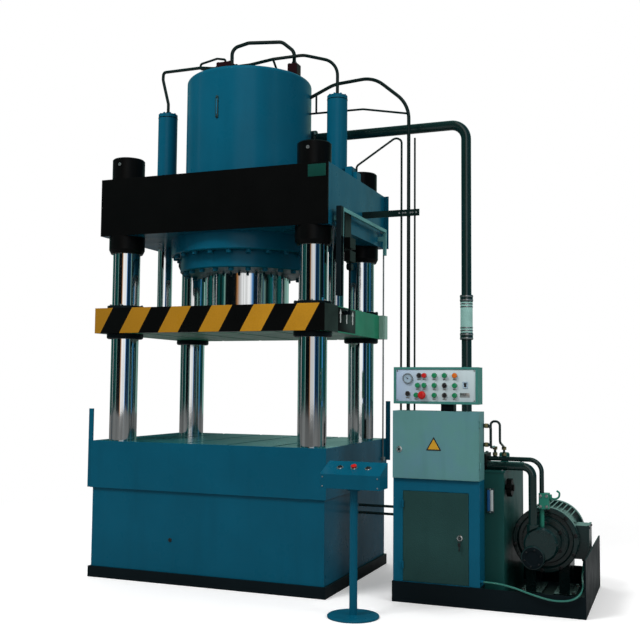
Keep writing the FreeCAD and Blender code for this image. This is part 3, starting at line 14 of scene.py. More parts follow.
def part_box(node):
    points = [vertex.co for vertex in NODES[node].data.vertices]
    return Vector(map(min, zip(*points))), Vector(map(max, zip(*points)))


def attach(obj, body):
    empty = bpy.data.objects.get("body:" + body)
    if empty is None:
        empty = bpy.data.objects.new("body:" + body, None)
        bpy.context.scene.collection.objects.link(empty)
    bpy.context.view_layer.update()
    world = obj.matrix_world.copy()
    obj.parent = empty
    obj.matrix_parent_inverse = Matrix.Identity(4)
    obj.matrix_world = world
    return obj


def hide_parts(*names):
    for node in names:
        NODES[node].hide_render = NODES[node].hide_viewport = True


bl_info = {
    "name": "Four-column press",
    "version": (1, 0, 0),
    "blender": (4, 5, 0),
    "location": "3D View > Sidebar > Press",
    "description": "Finishes, trim, pipes and studio for a four-column hydraulic press",
    "category": "Object",
}

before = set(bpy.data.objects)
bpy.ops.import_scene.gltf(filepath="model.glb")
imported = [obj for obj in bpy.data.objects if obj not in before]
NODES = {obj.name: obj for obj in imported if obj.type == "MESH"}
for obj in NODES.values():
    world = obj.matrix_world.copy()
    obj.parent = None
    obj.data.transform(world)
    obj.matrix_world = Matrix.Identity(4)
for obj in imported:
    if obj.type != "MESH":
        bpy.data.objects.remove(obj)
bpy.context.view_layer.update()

# Studio film: the photograph's frame is square, on a 36 mm wide sensor
SENSOR_WIDTH = 36.0

# The floor shows its shade up to the first distance from the press, and is white past the second
FLOOR_SHADED, FLOOR_WHITE = 3.2, 5.5

FRONT, UP, RIGHT = (0, -1, 0), (0, 0, 1), (1, 0, 0)

# Places inside joined nodes, which the frame's boxes don't give
BUSH_RADIUS, BUSH_SCREW_CIRCLE, NUT_RADIUS = 0.154, 0.141, 0.1375
SUCTION_FLANGE_RADIUS, FLANGE_THICKNESS, FLANGE_BOLT_CIRCLE = 0.070, 0.024, 0.057
SIGHT_GAUGE_X, SIGHT_GAUGE_BOTTOM, SIGHT_GAUGE_TOP = -0.035, 3.842, 4.034
DOOR_SHEET = 0.018
UPPER_LOCK, LOWER_LOCK = (1.587, 1.130), (2.043, 0.495)
TRIANGLE_PLACE = (1.852, 1.160)
BED_PLUG_PLACE = (-0.291, 0.347)
GAUGE_PIPE_HEIGHTS, GAUGE_PIPE_Y, GAUGE_STUB_Y = (1.312, 1.172), -0.450, -0.280
STAND_FRONT_TOP = 0.985
MOTOR_AXIS_HEIGHT, MOTOR_FOOT_TOP = 0.448, 0.034
PUMP_FLANGE, PUMP_NECK, PUMP_BODY = 0.028, 0.034, 0.182
PUMP_HEAD_SHIFT, PUMP_HEAD_HEIGHT, PUMP_HEAD_CLEAR = -0.055, 0.352, 0.105
TERMINAL_LID_BOTTOM = 0.310
FOOT_BOLTS_ASIDE, FOOT_BOLTS_BACK = 0.190, (0.030, 0.320)
RELIEF_BOLTS_X, RELIEF_BOLTS_Z = (2.584, 2.630), (0.722, 0.800)
CROWN_PLATE_X, CROWN_RIVETS_X = (0.871, 1.022), (0.882, 1.011)
ARROW_PLATE_BACK = -0.045
COUNTER_PLACE = (0.548, 0.142)

# Pilot pipes at their bracket as (x, radius)
PILOT_PIPES = ((1.385, 0.009), (1.446, 0.015), (1.502, 0.008))

# Blocks on the tank as ((left, right), (front, back), top, bolts in from the edge)
TANK_BLOCKS = (((1.600, 1.790), (0.020, 0.220), 1.270, 0.028),
               ((1.960, 2.196), (-0.400, -0.190), 1.100, 0.026))
TANK_BLOCK_LOW_BOLTS = 1.010

# Blocks on the cylinder as (x, y, width, depth, top)
PILOT_BLOCKS = ((-0.165, -0.145, 0.140, 0.130, 4.455), (0.435, -0.010, 0.090, 0.100, 4.420))


def srgb(red, green, blue):
    """Turn a colour mixed as 0 to 255 into the linear values that a shader takes."""
    def linear(level):
        level /= 255
        return level / 12.92 if level <= 0.04045 else ((level + 0.055) / 1.055) ** 2.4
    return (linear(red), linear(green), linear(blue))


def colour_property(name, description, colour):
    return FloatVectorProperty(name=name, description=description, default=srgb(*colour),
                               subtype="COLOR", size=3, min=0, max=1)


def length_property(name, description, default):
    return FloatProperty(name=name, description=description, default=default, min=0,
                         unit="LENGTH", subtype="DISTANCE")


class PressColours(PropertyGroup):
    """Paints and finishes."""
    press_blue: colour_property("Press blue", "Enamel on the bed, crown and cylinder", (6, 84, 108))
    deep_black: colour_property("Black", "Enamel on the nuts and the crown's front", (9, 10, 10))
    stripe_yellow: colour_property("Stripe yellow", "Warning stripes on the slide", (196, 140, 34))
    slide_green: colour_property("Slide green", "Enamel on the slide's body", (34, 132, 100))
    ear_grey: colour_property("Slide ear", "Pale enamel on the slide's forked ear", (150, 188, 174))
    table_steel: colour_property("Table steel", "Ground steel of the press table", (30, 96, 100))
    cabinet_grey: colour_property("Cabinet grey", "Upper cabinet", (92, 142, 140))
    cabinet_shade: colour_property("Cabinet shade", "Bluer patches in the cabinet's grey",
                                   (94, 134, 154))
    cabinet_blue: colour_property("Cabinet blue", "Lower cabinet", (12, 90, 116))
    door_green: colour_property("Door green", "Hammered lower door", (38, 70, 68))
    tank_green: colour_property("Tank green", "Oil tank", (28, 78, 74))
    motor_green: colour_property("Motor green", "Motor and pump castings", (12, 40, 40))
    pipe_green: colour_property("Pipe green", "Oil pipes", (14, 40, 38))
    tray_dark: colour_property("Tray", "Tray and plinths", (14, 24, 28))
    sleeve_grey: colour_property("Sleeve", "Rubber sleeve on the suction pipe", (150, 196, 188))
    panel_pale: colour_property("Panel plate", "Anodised plate behind the controls", (196, 212, 216))
    panel_tint: colour_property("Panel tint", "Bluer left end of the plate", (160, 182, 214))
    push_red: colour_property("Red", "Stop and emergency buttons", (196, 26, 22))
    push_green: colour_property("Green", "Start buttons", (16, 132, 84))
    push_orange: colour_property("Orange", "Signal lamp", (224, 112, 20))
    warning_yellow: colour_property("Warning yellow", "Triangle on the cabinet door", (204, 154, 48))


class PressTrim(PropertyGroup):
    """Sizes of markings and trim."""
    stripe_period: length_property("Stripe period", "From one yellow stripe to the next", 0.373)
    stripe_lean: FloatProperty(name="Stripe lean", description="How far a stripe leans for its height",
                               default=0.57)
    stripe_start: FloatProperty(name="Stripe start", description="Left edge of a stripe at the top",
                                default=-1.052, unit="LENGTH")
    stripe_share: FloatProperty(name="Yellow share", description="Yellow part of a period",
                                default=0.5, min=0, max=1, subtype="FACTOR")
    ring_bolts: IntProperty(name="Ring bolts", description="Bolts round each ring under the crown",
                            default=24, min=3)
    ring_bolt_radius: length_property("Ring bolt radius", "Of the heads under the crown", 0.023)
    cap_bolts: IntProperty(name="Cap bolts", description="Bolts on each return cylinder's cap",
                           default=8, min=3)
    small_bolt_radius: length_property("Small bolt radius", "Of the bolts on pipes and lids", 0.009)
    conduit_diameter: length_property("Conduit", "Diameter of the motor's cable conduit", 0.014)
    push_radius: length_property("Button radius", "Of a push button's bezel", 0.021)
    stop_radius: length_property("Stop radius", "Of the emergency stop's mushroom", 0.030)
    dial_radius: length_property("Dial radius", "Of the round instrument on the panel", 0.040)


class PressStudio(PropertyGroup):
    """Camera and lights."""
    camera_place: FloatVectorProperty(name="Camera place", description="Where the camera stands",
                                      default=(3.578, -7.358, 1.611), subtype="XYZ")
    camera_yaw: FloatProperty(name="Yaw", description="Turn to the left from +Y",
                              default=math.radians(21.387), subtype="ANGLE")
    camera_pitch: FloatProperty(name="Pitch", description="Tilt upwards",
                                default=math.radians(3.968), subtype="ANGLE")
    camera_roll: FloatProperty(name="Roll", description="Tilt to the side",
                               default=math.radians(0.49), subtype="ANGLE")
    focal_length: FloatProperty(name="Focal length", description="In millimetres on a 36 mm sensor",
                                default=52.01, min=1)
    key_power: FloatProperty(name="Key light", description="Watts", default=520, min=0)
    fill_power: FloatProperty(name="Fill light", description="Watts", default=150, min=0)
    sky: FloatProperty(name="Studio sky", description="Strength of the even light", default=0.62,
                       min=0)


def colours():
    return bpy.context.scene.press_colours


def trim():
    return bpy.context.scene.press_trim


def studio():
    return bpy.context.scene.press_studio


def deselect():
    if bpy.context.object and bpy.context.object.mode != "OBJECT":
        bpy.ops.object.mode_set(mode="OBJECT")
    bpy.ops.object.select_all(action="DESELECT")


def only(piece):
    deselect()
    piece.select_set(True)
    bpy.context.view_layer.objects.active = piece


def settle(piece, name):
    """Put a new piece's place, turn and size into its mesh and name it."""
    only(piece)
    bpy.ops.object.transform_apply(location=True, rotation=True, scale=True)
    piece.name = name
    piece.data.name = name
    return piece


def apply_modifier(piece, kind, **settings):
    only(piece)
    modifier = piece.modifiers.new(kind.title(), kind)
    for key, value in settings.items():
        setattr(modifier, key, value)
    bpy.ops.object.modifier_apply(modifier=modifier.name)


def smooth(piece, angle=35):
    only(piece)
    bpy.ops.object.shade_smooth_by_angle(angle=math.radians(angle))


def edit(piece):
    only(piece)
    bpy.ops.object.mode_set(mode="EDIT")
    bpy.ops.mesh.select_mode(type="FACE")
    bpy.ops.mesh.select_all(action="DESELECT")


def pick(piece, kind, test):
    """In edit mode, select just the faces or edges whose middle and normal pass a test."""
    bpy.ops.mesh.select_mode(type=kind)
    bpy.ops.mesh.select_all(action="DESELECT")
    mesh = bmesh.from_edit_mesh(piece.data)
    for part in (mesh.faces if kind == "FACE" else mesh.edges):
        middle = sum((corner.co for corner in part.verts), Vector()) / len(part.verts)
        facing = part.normal if kind == "FACE" else None
        if test(middle, facing):
            part.select_set(True)
    mesh.select_flush_mode()
    bmesh.update_edit_mesh(piece.data)


def pull(x=0.0, y=0.0, z=0.0):
    bpy.ops.mesh.extrude_region_move(TRANSFORM_OT_translate={"value": (x, y, z)})


def face_outwards(piece):
    edit(piece)
    bpy.ops.mesh.select_all(action="SELECT")
    bpy.ops.mesh.remove_doubles(threshold=1e-6)
    bpy.ops.mesh.normals_make_consistent(inside=False)
    bpy.ops.object.mode_set(mode="OBJECT")


def raised(name, steps, sides=24, edge=0.0):
    """Start from a disc and pull it up and scale it through (radius, height) steps."""
    deselect()
    radius, height = steps[0]
    bpy.ops.mesh.primitive_circle_add(vertices=sides, radius=radius, fill_type="NGON",
                                      location=(0, 0, height))
    piece = settle(bpy.context.object, name)
    edit(piece)
    bpy.ops.mesh.select_all(action="SELECT")
    for (before, low), (after, high) in zip(steps, steps[1:]):
        pull(z=high - low)
        bpy.ops.transform.resize(value=(after / before, after / before, 1),
                                 center_override=(0, 0, 0))
    bpy.ops.object.mode_set(mode="OBJECT")
    face_outwards(piece)
    if edge:
        apply_modifier(piece, "BEVEL", width=edge, segments=2, limit_method="ANGLE")
    smooth(piece)
    return piece


def slab(name, low, high, edge=0.002, segments=2):
    """A rounded box between two corners."""
    low, high = Vector(low), Vector(high)
    deselect()
    bpy.ops.mesh.primitive_cube_add(size=1, location=(low + high) / 2, scale=high - low)
    piece = settle(bpy.context.object, name)
    apply_modifier(piece, "BEVEL", width=edge, segments=segments, limit_method="ANGLE")
    smooth(piece)
    return piece


def sunk(piece, normal, rim, depth):
    """Inset the widest face that looks one way, and push it in or, with a minus, out."""
    normal = Vector(normal)
    widest = max((face.area for face in piece.data.polygons if face.normal.dot(normal) > 0.95))
    middles = [face.center.copy() for face in piece.data.polygons
               if face.normal.dot(normal) > 0.95 and face.area > widest * 0.9]
    edit(piece)
    pick(piece, "FACE", lambda middle, facing: facing.dot(normal) > 0.95
         and min((middle - place).length for place in middles) < 1e-4)
    bpy.ops.mesh.inset(thickness=rim, depth=0)
    pull(*(normal * -depth))
    bpy.ops.object.mode_set(mode="OBJECT")
    return piece


def joined(name, *pieces):
    deselect()
    for piece in pieces:
        piece.select_set(True)
    bpy.context.view_layer.objects.active = pieces[0]
    if len(pieces) > 1:
        bpy.ops.object.join()
    return settle(bpy.context.object, name)


def aimed(place, axis=(0, 0, 1), turn=0.0):
    """Where a piece made upright at the origin goes to stand on a place, along an axis."""
    axis = Vector(axis)
    upright = abs(axis.z) > 0.999
    aim = Vector((0, 0, 1)).rotation_difference(axis) if upright else axis.to_track_quat("Z", "Y")
    return Matrix.Translation(place) @ aim.to_matrix().to_4x4() @ Matrix.Rotation(turn, 4, "Z")


def stood(piece, name, place, axis=(0, 0, 1), turn=0.0):
    piece.matrix_world = aimed(place, axis, turn)
    return settle(piece, name)


def repeated(master, name, places):
    """Copy a piece, each copy with its own mesh, to each (place, axis, turn) and join them."""
    twins = []
    for place, axis, turn in places:
        twin = bpy.data.objects.new(name, master.data.copy())
        bpy.context.collection.objects.link(twin)
        twin.matrix_world = aimed(place, axis, turn)
        only(twin)
        bpy.ops.object.transform_apply(location=True, rotation=True, scale=True)
        twins.append(twin)
    bpy.data.objects.remove(master)
    return joined(name, *twins)


def hex_bolt(radius, height):
    """Washer and six-sided head with its turned corners."""
    washer = raised("washer", ((radius * 1.3, -0.001), (radius * 1.3, height * 0.18),
                               (radius * 1.15, height * 0.24)), 20)
    head = raised("head", ((radius, 0), (radius, height * 0.86), (radius * 0.84, height),
                           (radius * 0.5, height)), 6)
    return joined("bolt", washer, head)


def socket_screw(radius, height):
    """Round head with a six-sided socket."""
    head = raised("head", ((radius, -0.001), (radius, height * 0.82), (radius * 0.88, height),
                           (radius * 0.62, height)), 18)
    socket = raised("socket", ((radius * 0.56, height * 0.5), (radius * 0.56, height * 1.02),
                               (radius * 0.46, height * 1.02), (radius * 0.46, height * 0.55)), 6)
    return joined("screw", head, socket)


def ring_of(count, radius, height, axis=(0, 0, 1), centre=(0, 0, 0), first=0.0):
    """Evenly spaced places round an axis, at a height along it."""
    aim = aimed(centre, axis)
    places = []
    for index in range(count):
        angle = first + math.tau * index / count
        place = aim @ Vector((radius * math.cos(angle), radius * math.sin(angle), height))
        places.append((place, axis, angle))
    return places


def add_node(tree, kind, inputs=None, **settings):
    made = tree.nodes.new(kind)
    for key, value in settings.items():
        setattr(made, key, value)
    for key, value in (inputs or {}).items():
        if isinstance(value, bpy.types.NodeSocket):
            tree.links.new(value, made.inputs[key])
        else:
            made.inputs[key].default_value = value
    return made


def new_material(name):
    material = bpy.data.materials.new(name)
    material.use_nodes = True
    tree = material.node_tree
    return material, tree, tree.nodes["Principled BSDF"]


def noise(tree, scale, detail=3.0, stretch=(1, 1, 1), roughness=0.55):
    """Noise on object coordinates, from 0 to 1."""
    place = add_node(tree, "ShaderNodeTexCoord").outputs["Object"]
    place = add_node(tree, "ShaderNodeMapping", {"Vector": place, "Scale": stretch}).outputs[0]
    return add_node(tree, "ShaderNodeTexNoise", {"Vector": place, "Scale": scale, "Detail": detail,
                                                 "Roughness": roughness}).outputs[0]


def spread(tree, value, low, high, to_low=0.0, to_high=1.0):
    return add_node(tree, "ShaderNodeMapRange",
                    {"Value": value, "From Min": low, "From Max": high, "To Min": to_low,
                     "To Max": to_high}, clamp=True).outputs[0]


def mixed(tree, factor, first, second):
    """Mix two colours, each a socket or three levels."""
    first, second = (value if isinstance(value, bpy.types.NodeSocket) else (*value, 1)
                     for value in (first, second))
    return add_node(tree, "ShaderNodeMix", {0: factor, 6: first, 7: second},
                    data_type="RGBA").outputs[2]


def scaled(colour, factor):
    return tuple(min(1.0, level * factor) for level in colour)


def edge_wear(tree, radius):
    """Rounded normal, and a mask that is 1 on outside edges."""
    rounded = add_node(tree, "ShaderNodeBevel", {"Radius": radius}, samples=6).outputs[0]
    normal = add_node(tree, "ShaderNodeNewGeometry").outputs["Normal"]
    alike = add_node(tree, "ShaderNodeVectorMath", {0: rounded, 1: normal},
                     operation="DOT_PRODUCT").outputs["Value"]
    return rounded, spread(tree, alike, 0.97, 0.80)


def painted(name, colour, gloss=0.30, mottle=0.16, peel=0.06, hammer=0.0, edge=0.003, wear=1.25,
            drift=None, coat=0.08, shine=0.07):
    """Enamel with faint fading, runs, orange peel or a hammered skin, and lighter worn edges.

    A drift is a second colour that shows in soft patches.
    """
    material, tree, shader = new_material(name)
    fade = spread(tree, noise(tree, 1.7, 5), 0.3, 0.72)
    body = mixed(tree, fade, scaled(colour, 1 - mottle), scaled(colour, 1 + mottle))
    if drift:
        patches = spread(tree, noise(tree, 2.6, 8, (1, 1, 0.8), 0.75), 0.40, 0.66, 0, 0.6)
        body = mixed(tree, patches, body, drift)
    runs = spread(tree, noise(tree, 9, 3, (1, 1, 0.12)), 0.52, 0.78, 0, 0.35)
    body = mixed(tree, runs, body, scaled(colour, 0.72))
    rounded, edges = edge_wear(tree, edge)
    spots = spread(tree, noise(tree, 14, 6), 0.40, 0.62)
    chips = add_node(tree, "ShaderNodeMath", {0: edges, 1: spots}, operation="MULTIPLY").outputs[0]
    body = mixed(tree, chips, body, scaled(colour, wear * 1.7))
    tree.links.new(body, shader.inputs["Base Color"])
    rough = spread(tree, noise(tree, 5, 5), 0.3, 0.7, gloss - 0.06, gloss + 0.10)
    tree.links.new(rough, shader.inputs["Roughness"])
    skin = add_node(tree, "ShaderNodeBump", {"Height": noise(tree, 190, 2), "Normal": rounded,
                                             "Strength": peel, "Distance": 0.001}).outputs[0]
    if hammer:
        cells = add_node(tree, "ShaderNodeTexVoronoi",
                         {"Vector": add_node(tree, "ShaderNodeTexCoord").outputs["Object"],
                          "Scale": 130.0}, feature="SMOOTH_F1").outputs["Distance"]
        skin = add_node(tree, "ShaderNodeBump", {"Height": cells, "Normal": skin,
                                                 "Strength": hammer, "Distance": 0.002}).outputs[0]
    tree.links.new(skin, shader.inputs["Normal"])
    shader.inputs["Coat Weight"].default_value = coat
    shader.inputs["Coat Roughness"].default_value = 0.12
    shader.inputs["Specular IOR Level"].default_value = shine
    return material


def polished(name, tint=(0.86, 0.88, 0.88), roughness=0.06):
    """Hard chrome with a film of oil and faint darker streaks along the rod, partly polish lines, partly
    painted reflections.
    """
    material, tree, shader = new_material(name)
    film = spread(tree, noise(tree, 2.2, 3), 0.35, 0.7)
    # Streaks along the rod in the base colour: partly polish lines, partly painted reflection streaks
    lines = spread(tree, noise(tree, 26, 3, (1, 1, 0.006), 0.6), 0.42, 0.60)
    body = mixed(tree, lines, scaled(tint, 0.55), tint)
    body = mixed(tree, spread(tree, film, 0, 1, 0, 0.25), body, scaled(tint, 0.6))
    tree.links.new(body, shader.inputs["Base Color"])
    tree.links.new(spread(tree, film, 0, 1, roughness * 0.6, roughness * 1.8),
                   shader.inputs["Roughness"])
    shader.inputs["Metallic"].default_value = 1.0
    rounded, _ = edge_wear(tree, 0.002)
    tree.links.new(rounded, shader.inputs["Normal"])
    return material


def machined(name, colour, roughness=0.32, grain=60, stretch=(1, 1, 1), metallic=0.9):
    """Turned, milled or cast metal left bare or oiled."""
    material, tree, shader = new_material(name)
    lines = spread(tree, noise(tree, grain, 5, stretch), 0.3, 0.7)
    stain = spread(tree, noise(tree, 3.1, 6), 0.42, 0.75)
    body = mixed(tree, lines, scaled(colour, 0.78), scaled(colour, 1.18))
    body = mixed(tree, stain, body, scaled(colour, 0.6))
    tree.links.new(body, shader.inputs["Base Color"])
    tree.links.new(spread(tree, lines, 0, 1, roughness - 0.08, roughness + 0.12),
                   shader.inputs["Roughness"])
    shader.inputs["Metallic"].default_value = metallic
    rounded, _ = edge_wear(tree, 0.0015)
    skin = add_node(tree, "ShaderNodeBump", {"Height": lines, "Normal": rounded, "Strength": 0.12,
                                             "Distance": 0.001}).outputs[0]
    tree.links.new(skin, shader.inputs["Normal"])
    return material


def moulded(name, colour, roughness=0.4, grain=0.05):
    """Rubber or plastic with a fine grain."""
    material, tree, shader = new_material(name)
    wash = spread(tree, noise(tree, 6, 4), 0.35, 0.7)
    tree.links.new(mixed(tree, wash, scaled(colour, 0.82), scaled(colour, 1.12)),
                   shader.inputs["Base Color"])
    tree.links.new(spread(tree, wash, 0, 1, roughness - 0.07, roughness + 0.1),
                   shader.inputs["Roughness"])
    rounded, _ = edge_wear(tree, 0.001)
    skin = add_node(tree, "ShaderNodeBump", {"Height": noise(tree, 420, 2), "Normal": rounded,
                                             "Strength": grain, "Distance": 0.0006}).outputs[0]
    tree.links.new(skin, shader.inputs["Normal"])
    return material


def coordinate(tree, axis):
    """One of the piece's own coordinates."""
    place = add_node(tree, "ShaderNodeTexCoord").outputs["Object"]
    return add_node(tree, "ShaderNodeSeparateXYZ", {0: place}).outputs[axis]


def overlaid(material, mask, colour):
    """Lay a colour over a finish where a mask is 1."""
    tree = material.node_tree
    base = tree.nodes["Principled BSDF"].inputs["Base Color"]
    tree.links.new(mixed(tree, mask, base.links[0].from_socket, colour), base)
    return material


def two_tone(name, first, second, axis, start, end, shares=(0.0, 1.0), **finish):
    """Enamel that turns to a second colour between two places along an axis."""
    material = painted(name, first, **finish)
    tree = material.node_tree
    return overlaid(material, spread(tree, coordinate(tree, axis), start, end, *shares), second)


def warning_stripes(name):
    """Black enamel with leaning yellow stripes on the plate's front face only."""
    low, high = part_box("slide_front_plate")
    sizes = trim()
    material = painted(name, colours().deep_black, gloss=0.30, wear=1.8, shine=0.08)
    tree = material.node_tree

    def worked(operation, first, second):
        return add_node(tree, "ShaderNodeMath", {0: first, 1: second}, operation=operation).outputs[0]

    across = coordinate(tree, "X")
    drop = worked("SUBTRACT", high.z, coordinate(tree, "Z"))
    along = worked("ADD", across, worked("MULTIPLY", drop, sizes.stripe_lean))
    turn = worked("DIVIDE", worked("SUBTRACT", along, sizes.stripe_start), sizes.stripe_period)
    share = worked("FRACT", turn, 0.0)
    edge = 0.004
    end = sizes.stripe_share
    on = worked("MULTIPLY", spread(tree, share, 0.0, edge), spread(tree, share, end, end - edge))
    on = worked("MULTIPLY", on, worked("LESS_THAN", coordinate(tree, "Y"), low.y + 0.002))
    yellow = colours().stripe_yellow
    fade = spread(tree, noise(tree, 2.4, 6), 0.3, 0.7)
    toned_yellow = mixed(tree, fade, scaled(yellow, 0.80), scaled(yellow, 1.10))
    # The yellow is darker towards the plate's left end
    toned_yellow = mixed(tree, spread(tree, across, low.x, high.x), scaled(yellow, 0.62), toned_yellow)
    grain = spread(tree, noise(tree, 70, 4), 0.45, 0.8, 0, 0.35)
    return overlaid(material, on, mixed(tree, grain, toned_yellow, scaled(yellow, 0.55)))


MATERIALS = {}


def finishes():
    """Every finish on the press, made once."""
    if MATERIALS:
        return MATERIALS
    c = colours()
    ear_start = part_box("slide_front_plate")[1].x - 0.010
    cabinet_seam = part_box("cabinet_lower")[1].z
    panel_low, panel_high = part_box("control_panel")
    MATERIALS.update({
        "blue_paint": painted("press_blue_enamel", c.press_blue, mottle=0.10, coat=0.10),
        "black_paint": painted("black_enamel", c.deep_black, gloss=0.34, wear=1.8, coat=0.0, shine=0.08),
        "dark_paint": painted("tray_enamel", c.tray_dark, gloss=0.38, wear=1.5, coat=0.0),
        "hazard_paint": warning_stripes("warning_stripes"),
        "slide_green": two_tone("slide_enamel", c.slide_green, c.ear_grey, "X", ear_start - 0.0005,
                                ear_start + 0.0005, coat=0.1),
        "grey_paint": painted("cabinet_grey_enamel", c.cabinet_grey, gloss=0.42, mottle=0.08,
                              hammer=0.22, drift=c.cabinet_shade),
        "bar_grey": painted("bar_enamel", srgb(96, 156, 156), mottle=0.08),
        "cabinet_blue": painted("cabinet_blue_enamel", c.cabinet_blue, gloss=0.36, mottle=0.10),
        "door_paint": painted("hammered_door_enamel", c.door_green, gloss=0.38, hammer=0.6),
        "pipe_green": painted("pipe_enamel", c.pipe_green, gloss=0.20, wear=1.6, coat=0.5, shine=0.3),
        "dark_pipe": painted("dark_pipe_enamel", srgb(12, 30, 28), gloss=0.22, wear=1.5, coat=0.2,
                             shine=0.2),
        "valve_red": painted("valve_block_enamel", srgb(36, 16, 20), gloss=0.34),
        "tank_green": painted("tank_enamel", c.tank_green, gloss=0.34),
        "motor_green": painted("motor_enamel", c.motor_green, gloss=0.22, peel=0.35, mottle=0.22,
                               coat=0.5, shine=0.3),
        "valve_green": painted("relief_valve_enamel", srgb(44, 122, 104)),
        "chrome": polished("hard_chrome"),
        "bright_chrome": machined("plated_trim", (0.72, 0.75, 0.75), 0.16, 40),
        "bare_steel": machined("oiled_steel", (0.40, 0.43, 0.43)),
        "zinc": machined("zinc_plated_steel", (0.50, 0.54, 0.54), grain=90),
        "conduit_steel": painted("conduit_jacket", srgb(52, 116, 104), gloss=0.2, mottle=0.2,
                                 coat=0.6, shine=0.5),
        "black_steel": machined("blacked_steel", (0.035, 0.038, 0.04), 0.36, metallic=0.6),
        "table_steel": painted("ground_table_steel", c.table_steel, mottle=0.35, peel=0.02, coat=0.25,
                               shine=0.2),
        "hinge_paint": two_tone("hinge_enamel", c.cabinet_blue, c.cabinet_grey, "Z",
                                cabinet_seam - 0.001, cabinet_seam + 0.001, gloss=0.36),
        "panel_case": painted("panel_case_enamel", srgb(66, 128, 120), gloss=0.4, mottle=0.08,
                              hammer=0.2),
        "bronze": machined("brass_fitting", (0.40, 0.34, 0.16), 0.34),
        "sleeve_rubber": moulded("grey_sleeve_rubber", c.sleeve_grey, 0.5),
        "gauge_clear": moulded("gauge_frame", srgb(34, 60, 62), 0.3, 0.02),
        "gauge_blue": moulded("gauge_blue_glass", srgb(24, 92, 150), 0.10, 0.0),
        "sight_glass": moulded("sight_glass", srgb(20, 108, 140), 0.12, 0.0),
        "gauge_white": moulded("gauge_scale", srgb(214, 222, 222), 0.25, 0.0),
        "button_plastic": moulded("green_push", c.push_green, 0.24, 0.0),
        "push_red": moulded("red_push", c.push_red, 0.24, 0.0),
        "push_orange": moulded("orange_lamp", c.push_orange, 0.20, 0.0),
        "push_black": moulded("black_push", (0.014, 0.014, 0.015), 0.30, 0.02),
        "dial_white": moulded("dial_face", srgb(166, 190, 206), 0.30, 0.0),
        "warning_yellow": painted("warning_yellow_enamel", c.warning_yellow, gloss=0.34, mottle=0.06),
        "arrow_white": painted("white_marking_enamel", srgb(206, 212, 210), gloss=0.4, mottle=0.08),
        "plate_green": painted("dark_green_plate", srgb(16, 62, 54)),
        "panel_sheet": two_tone("anodised_panel_sheet", c.panel_pale, c.panel_tint, "X", panel_low.x,
                                (panel_low.x + panel_high.x) / 2, (0.8, 0.0), gloss=0.36,
                                mottle=0.04, peel=0.02),
    })
    return MATERIALS


def finish_piece(piece, finish):
    piece.data.materials.clear()
    piece.data.materials.append(finishes()[finish])


def place_piece(piece, finish, body="frame"):
    """Finish a new piece and let it ride with its body."""
    finish_piece(piece, finish)
    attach(piece, body)
    return piece


def fitted(master, name, places, finish="zinc", body="frame"):
    """Copy a piece to its places, as one finished piece that rides with its body."""
    return place_piece(repeated(master, name, places), finish, body)


def fronted(name, steps, sides, place, finish, body="frame"):
    """One turned piece that faces the operator."""
    return place_piece(stood(raised(name, steps, sides), name, place, FRONT), finish, body)


# What gloss mirrors, by compass direction in degrees: a dark room with white and tinted strips
DARK, TEAL, DEEP = (0.004, 0.008, 0.010), (0.01, 0.16, 0.15), (0.01, 0.09, 0.22)
LAMP, AMBER = (1.6, 1.6, 1.6), (0.85, 0.34, 0.08)
SKY_BLUE, PALE = (0.10, 0.42, 0.95), (0.42, 0.75, 0.66)
STUDIO_STRIPS = (
    (-180, TEAL), (-171, DARK), (-168, LAMP), (-164, DARK), (-158, TEAL), (-153, DARK), (-146, TEAL),
    (-140, DARK), (-130, TEAL), (-127, PALE), (-124, DARK), (-94, DARK), (-90, AMBER), (-82, LAMP),
    (-56, LAMP), (-50, SKY_BLUE), (-45, DARK), (-20, DEEP), (-16, PALE), (-11, DARK), (8, TEAL),
    (18, SKY_BLUE), (22, DARK), (38, TEAL), (52, DARK), (66, PALE), (110, PALE), (120, DARK),
    (134, TEAL), (150, PALE), (162, DARK), (180, TEAL))


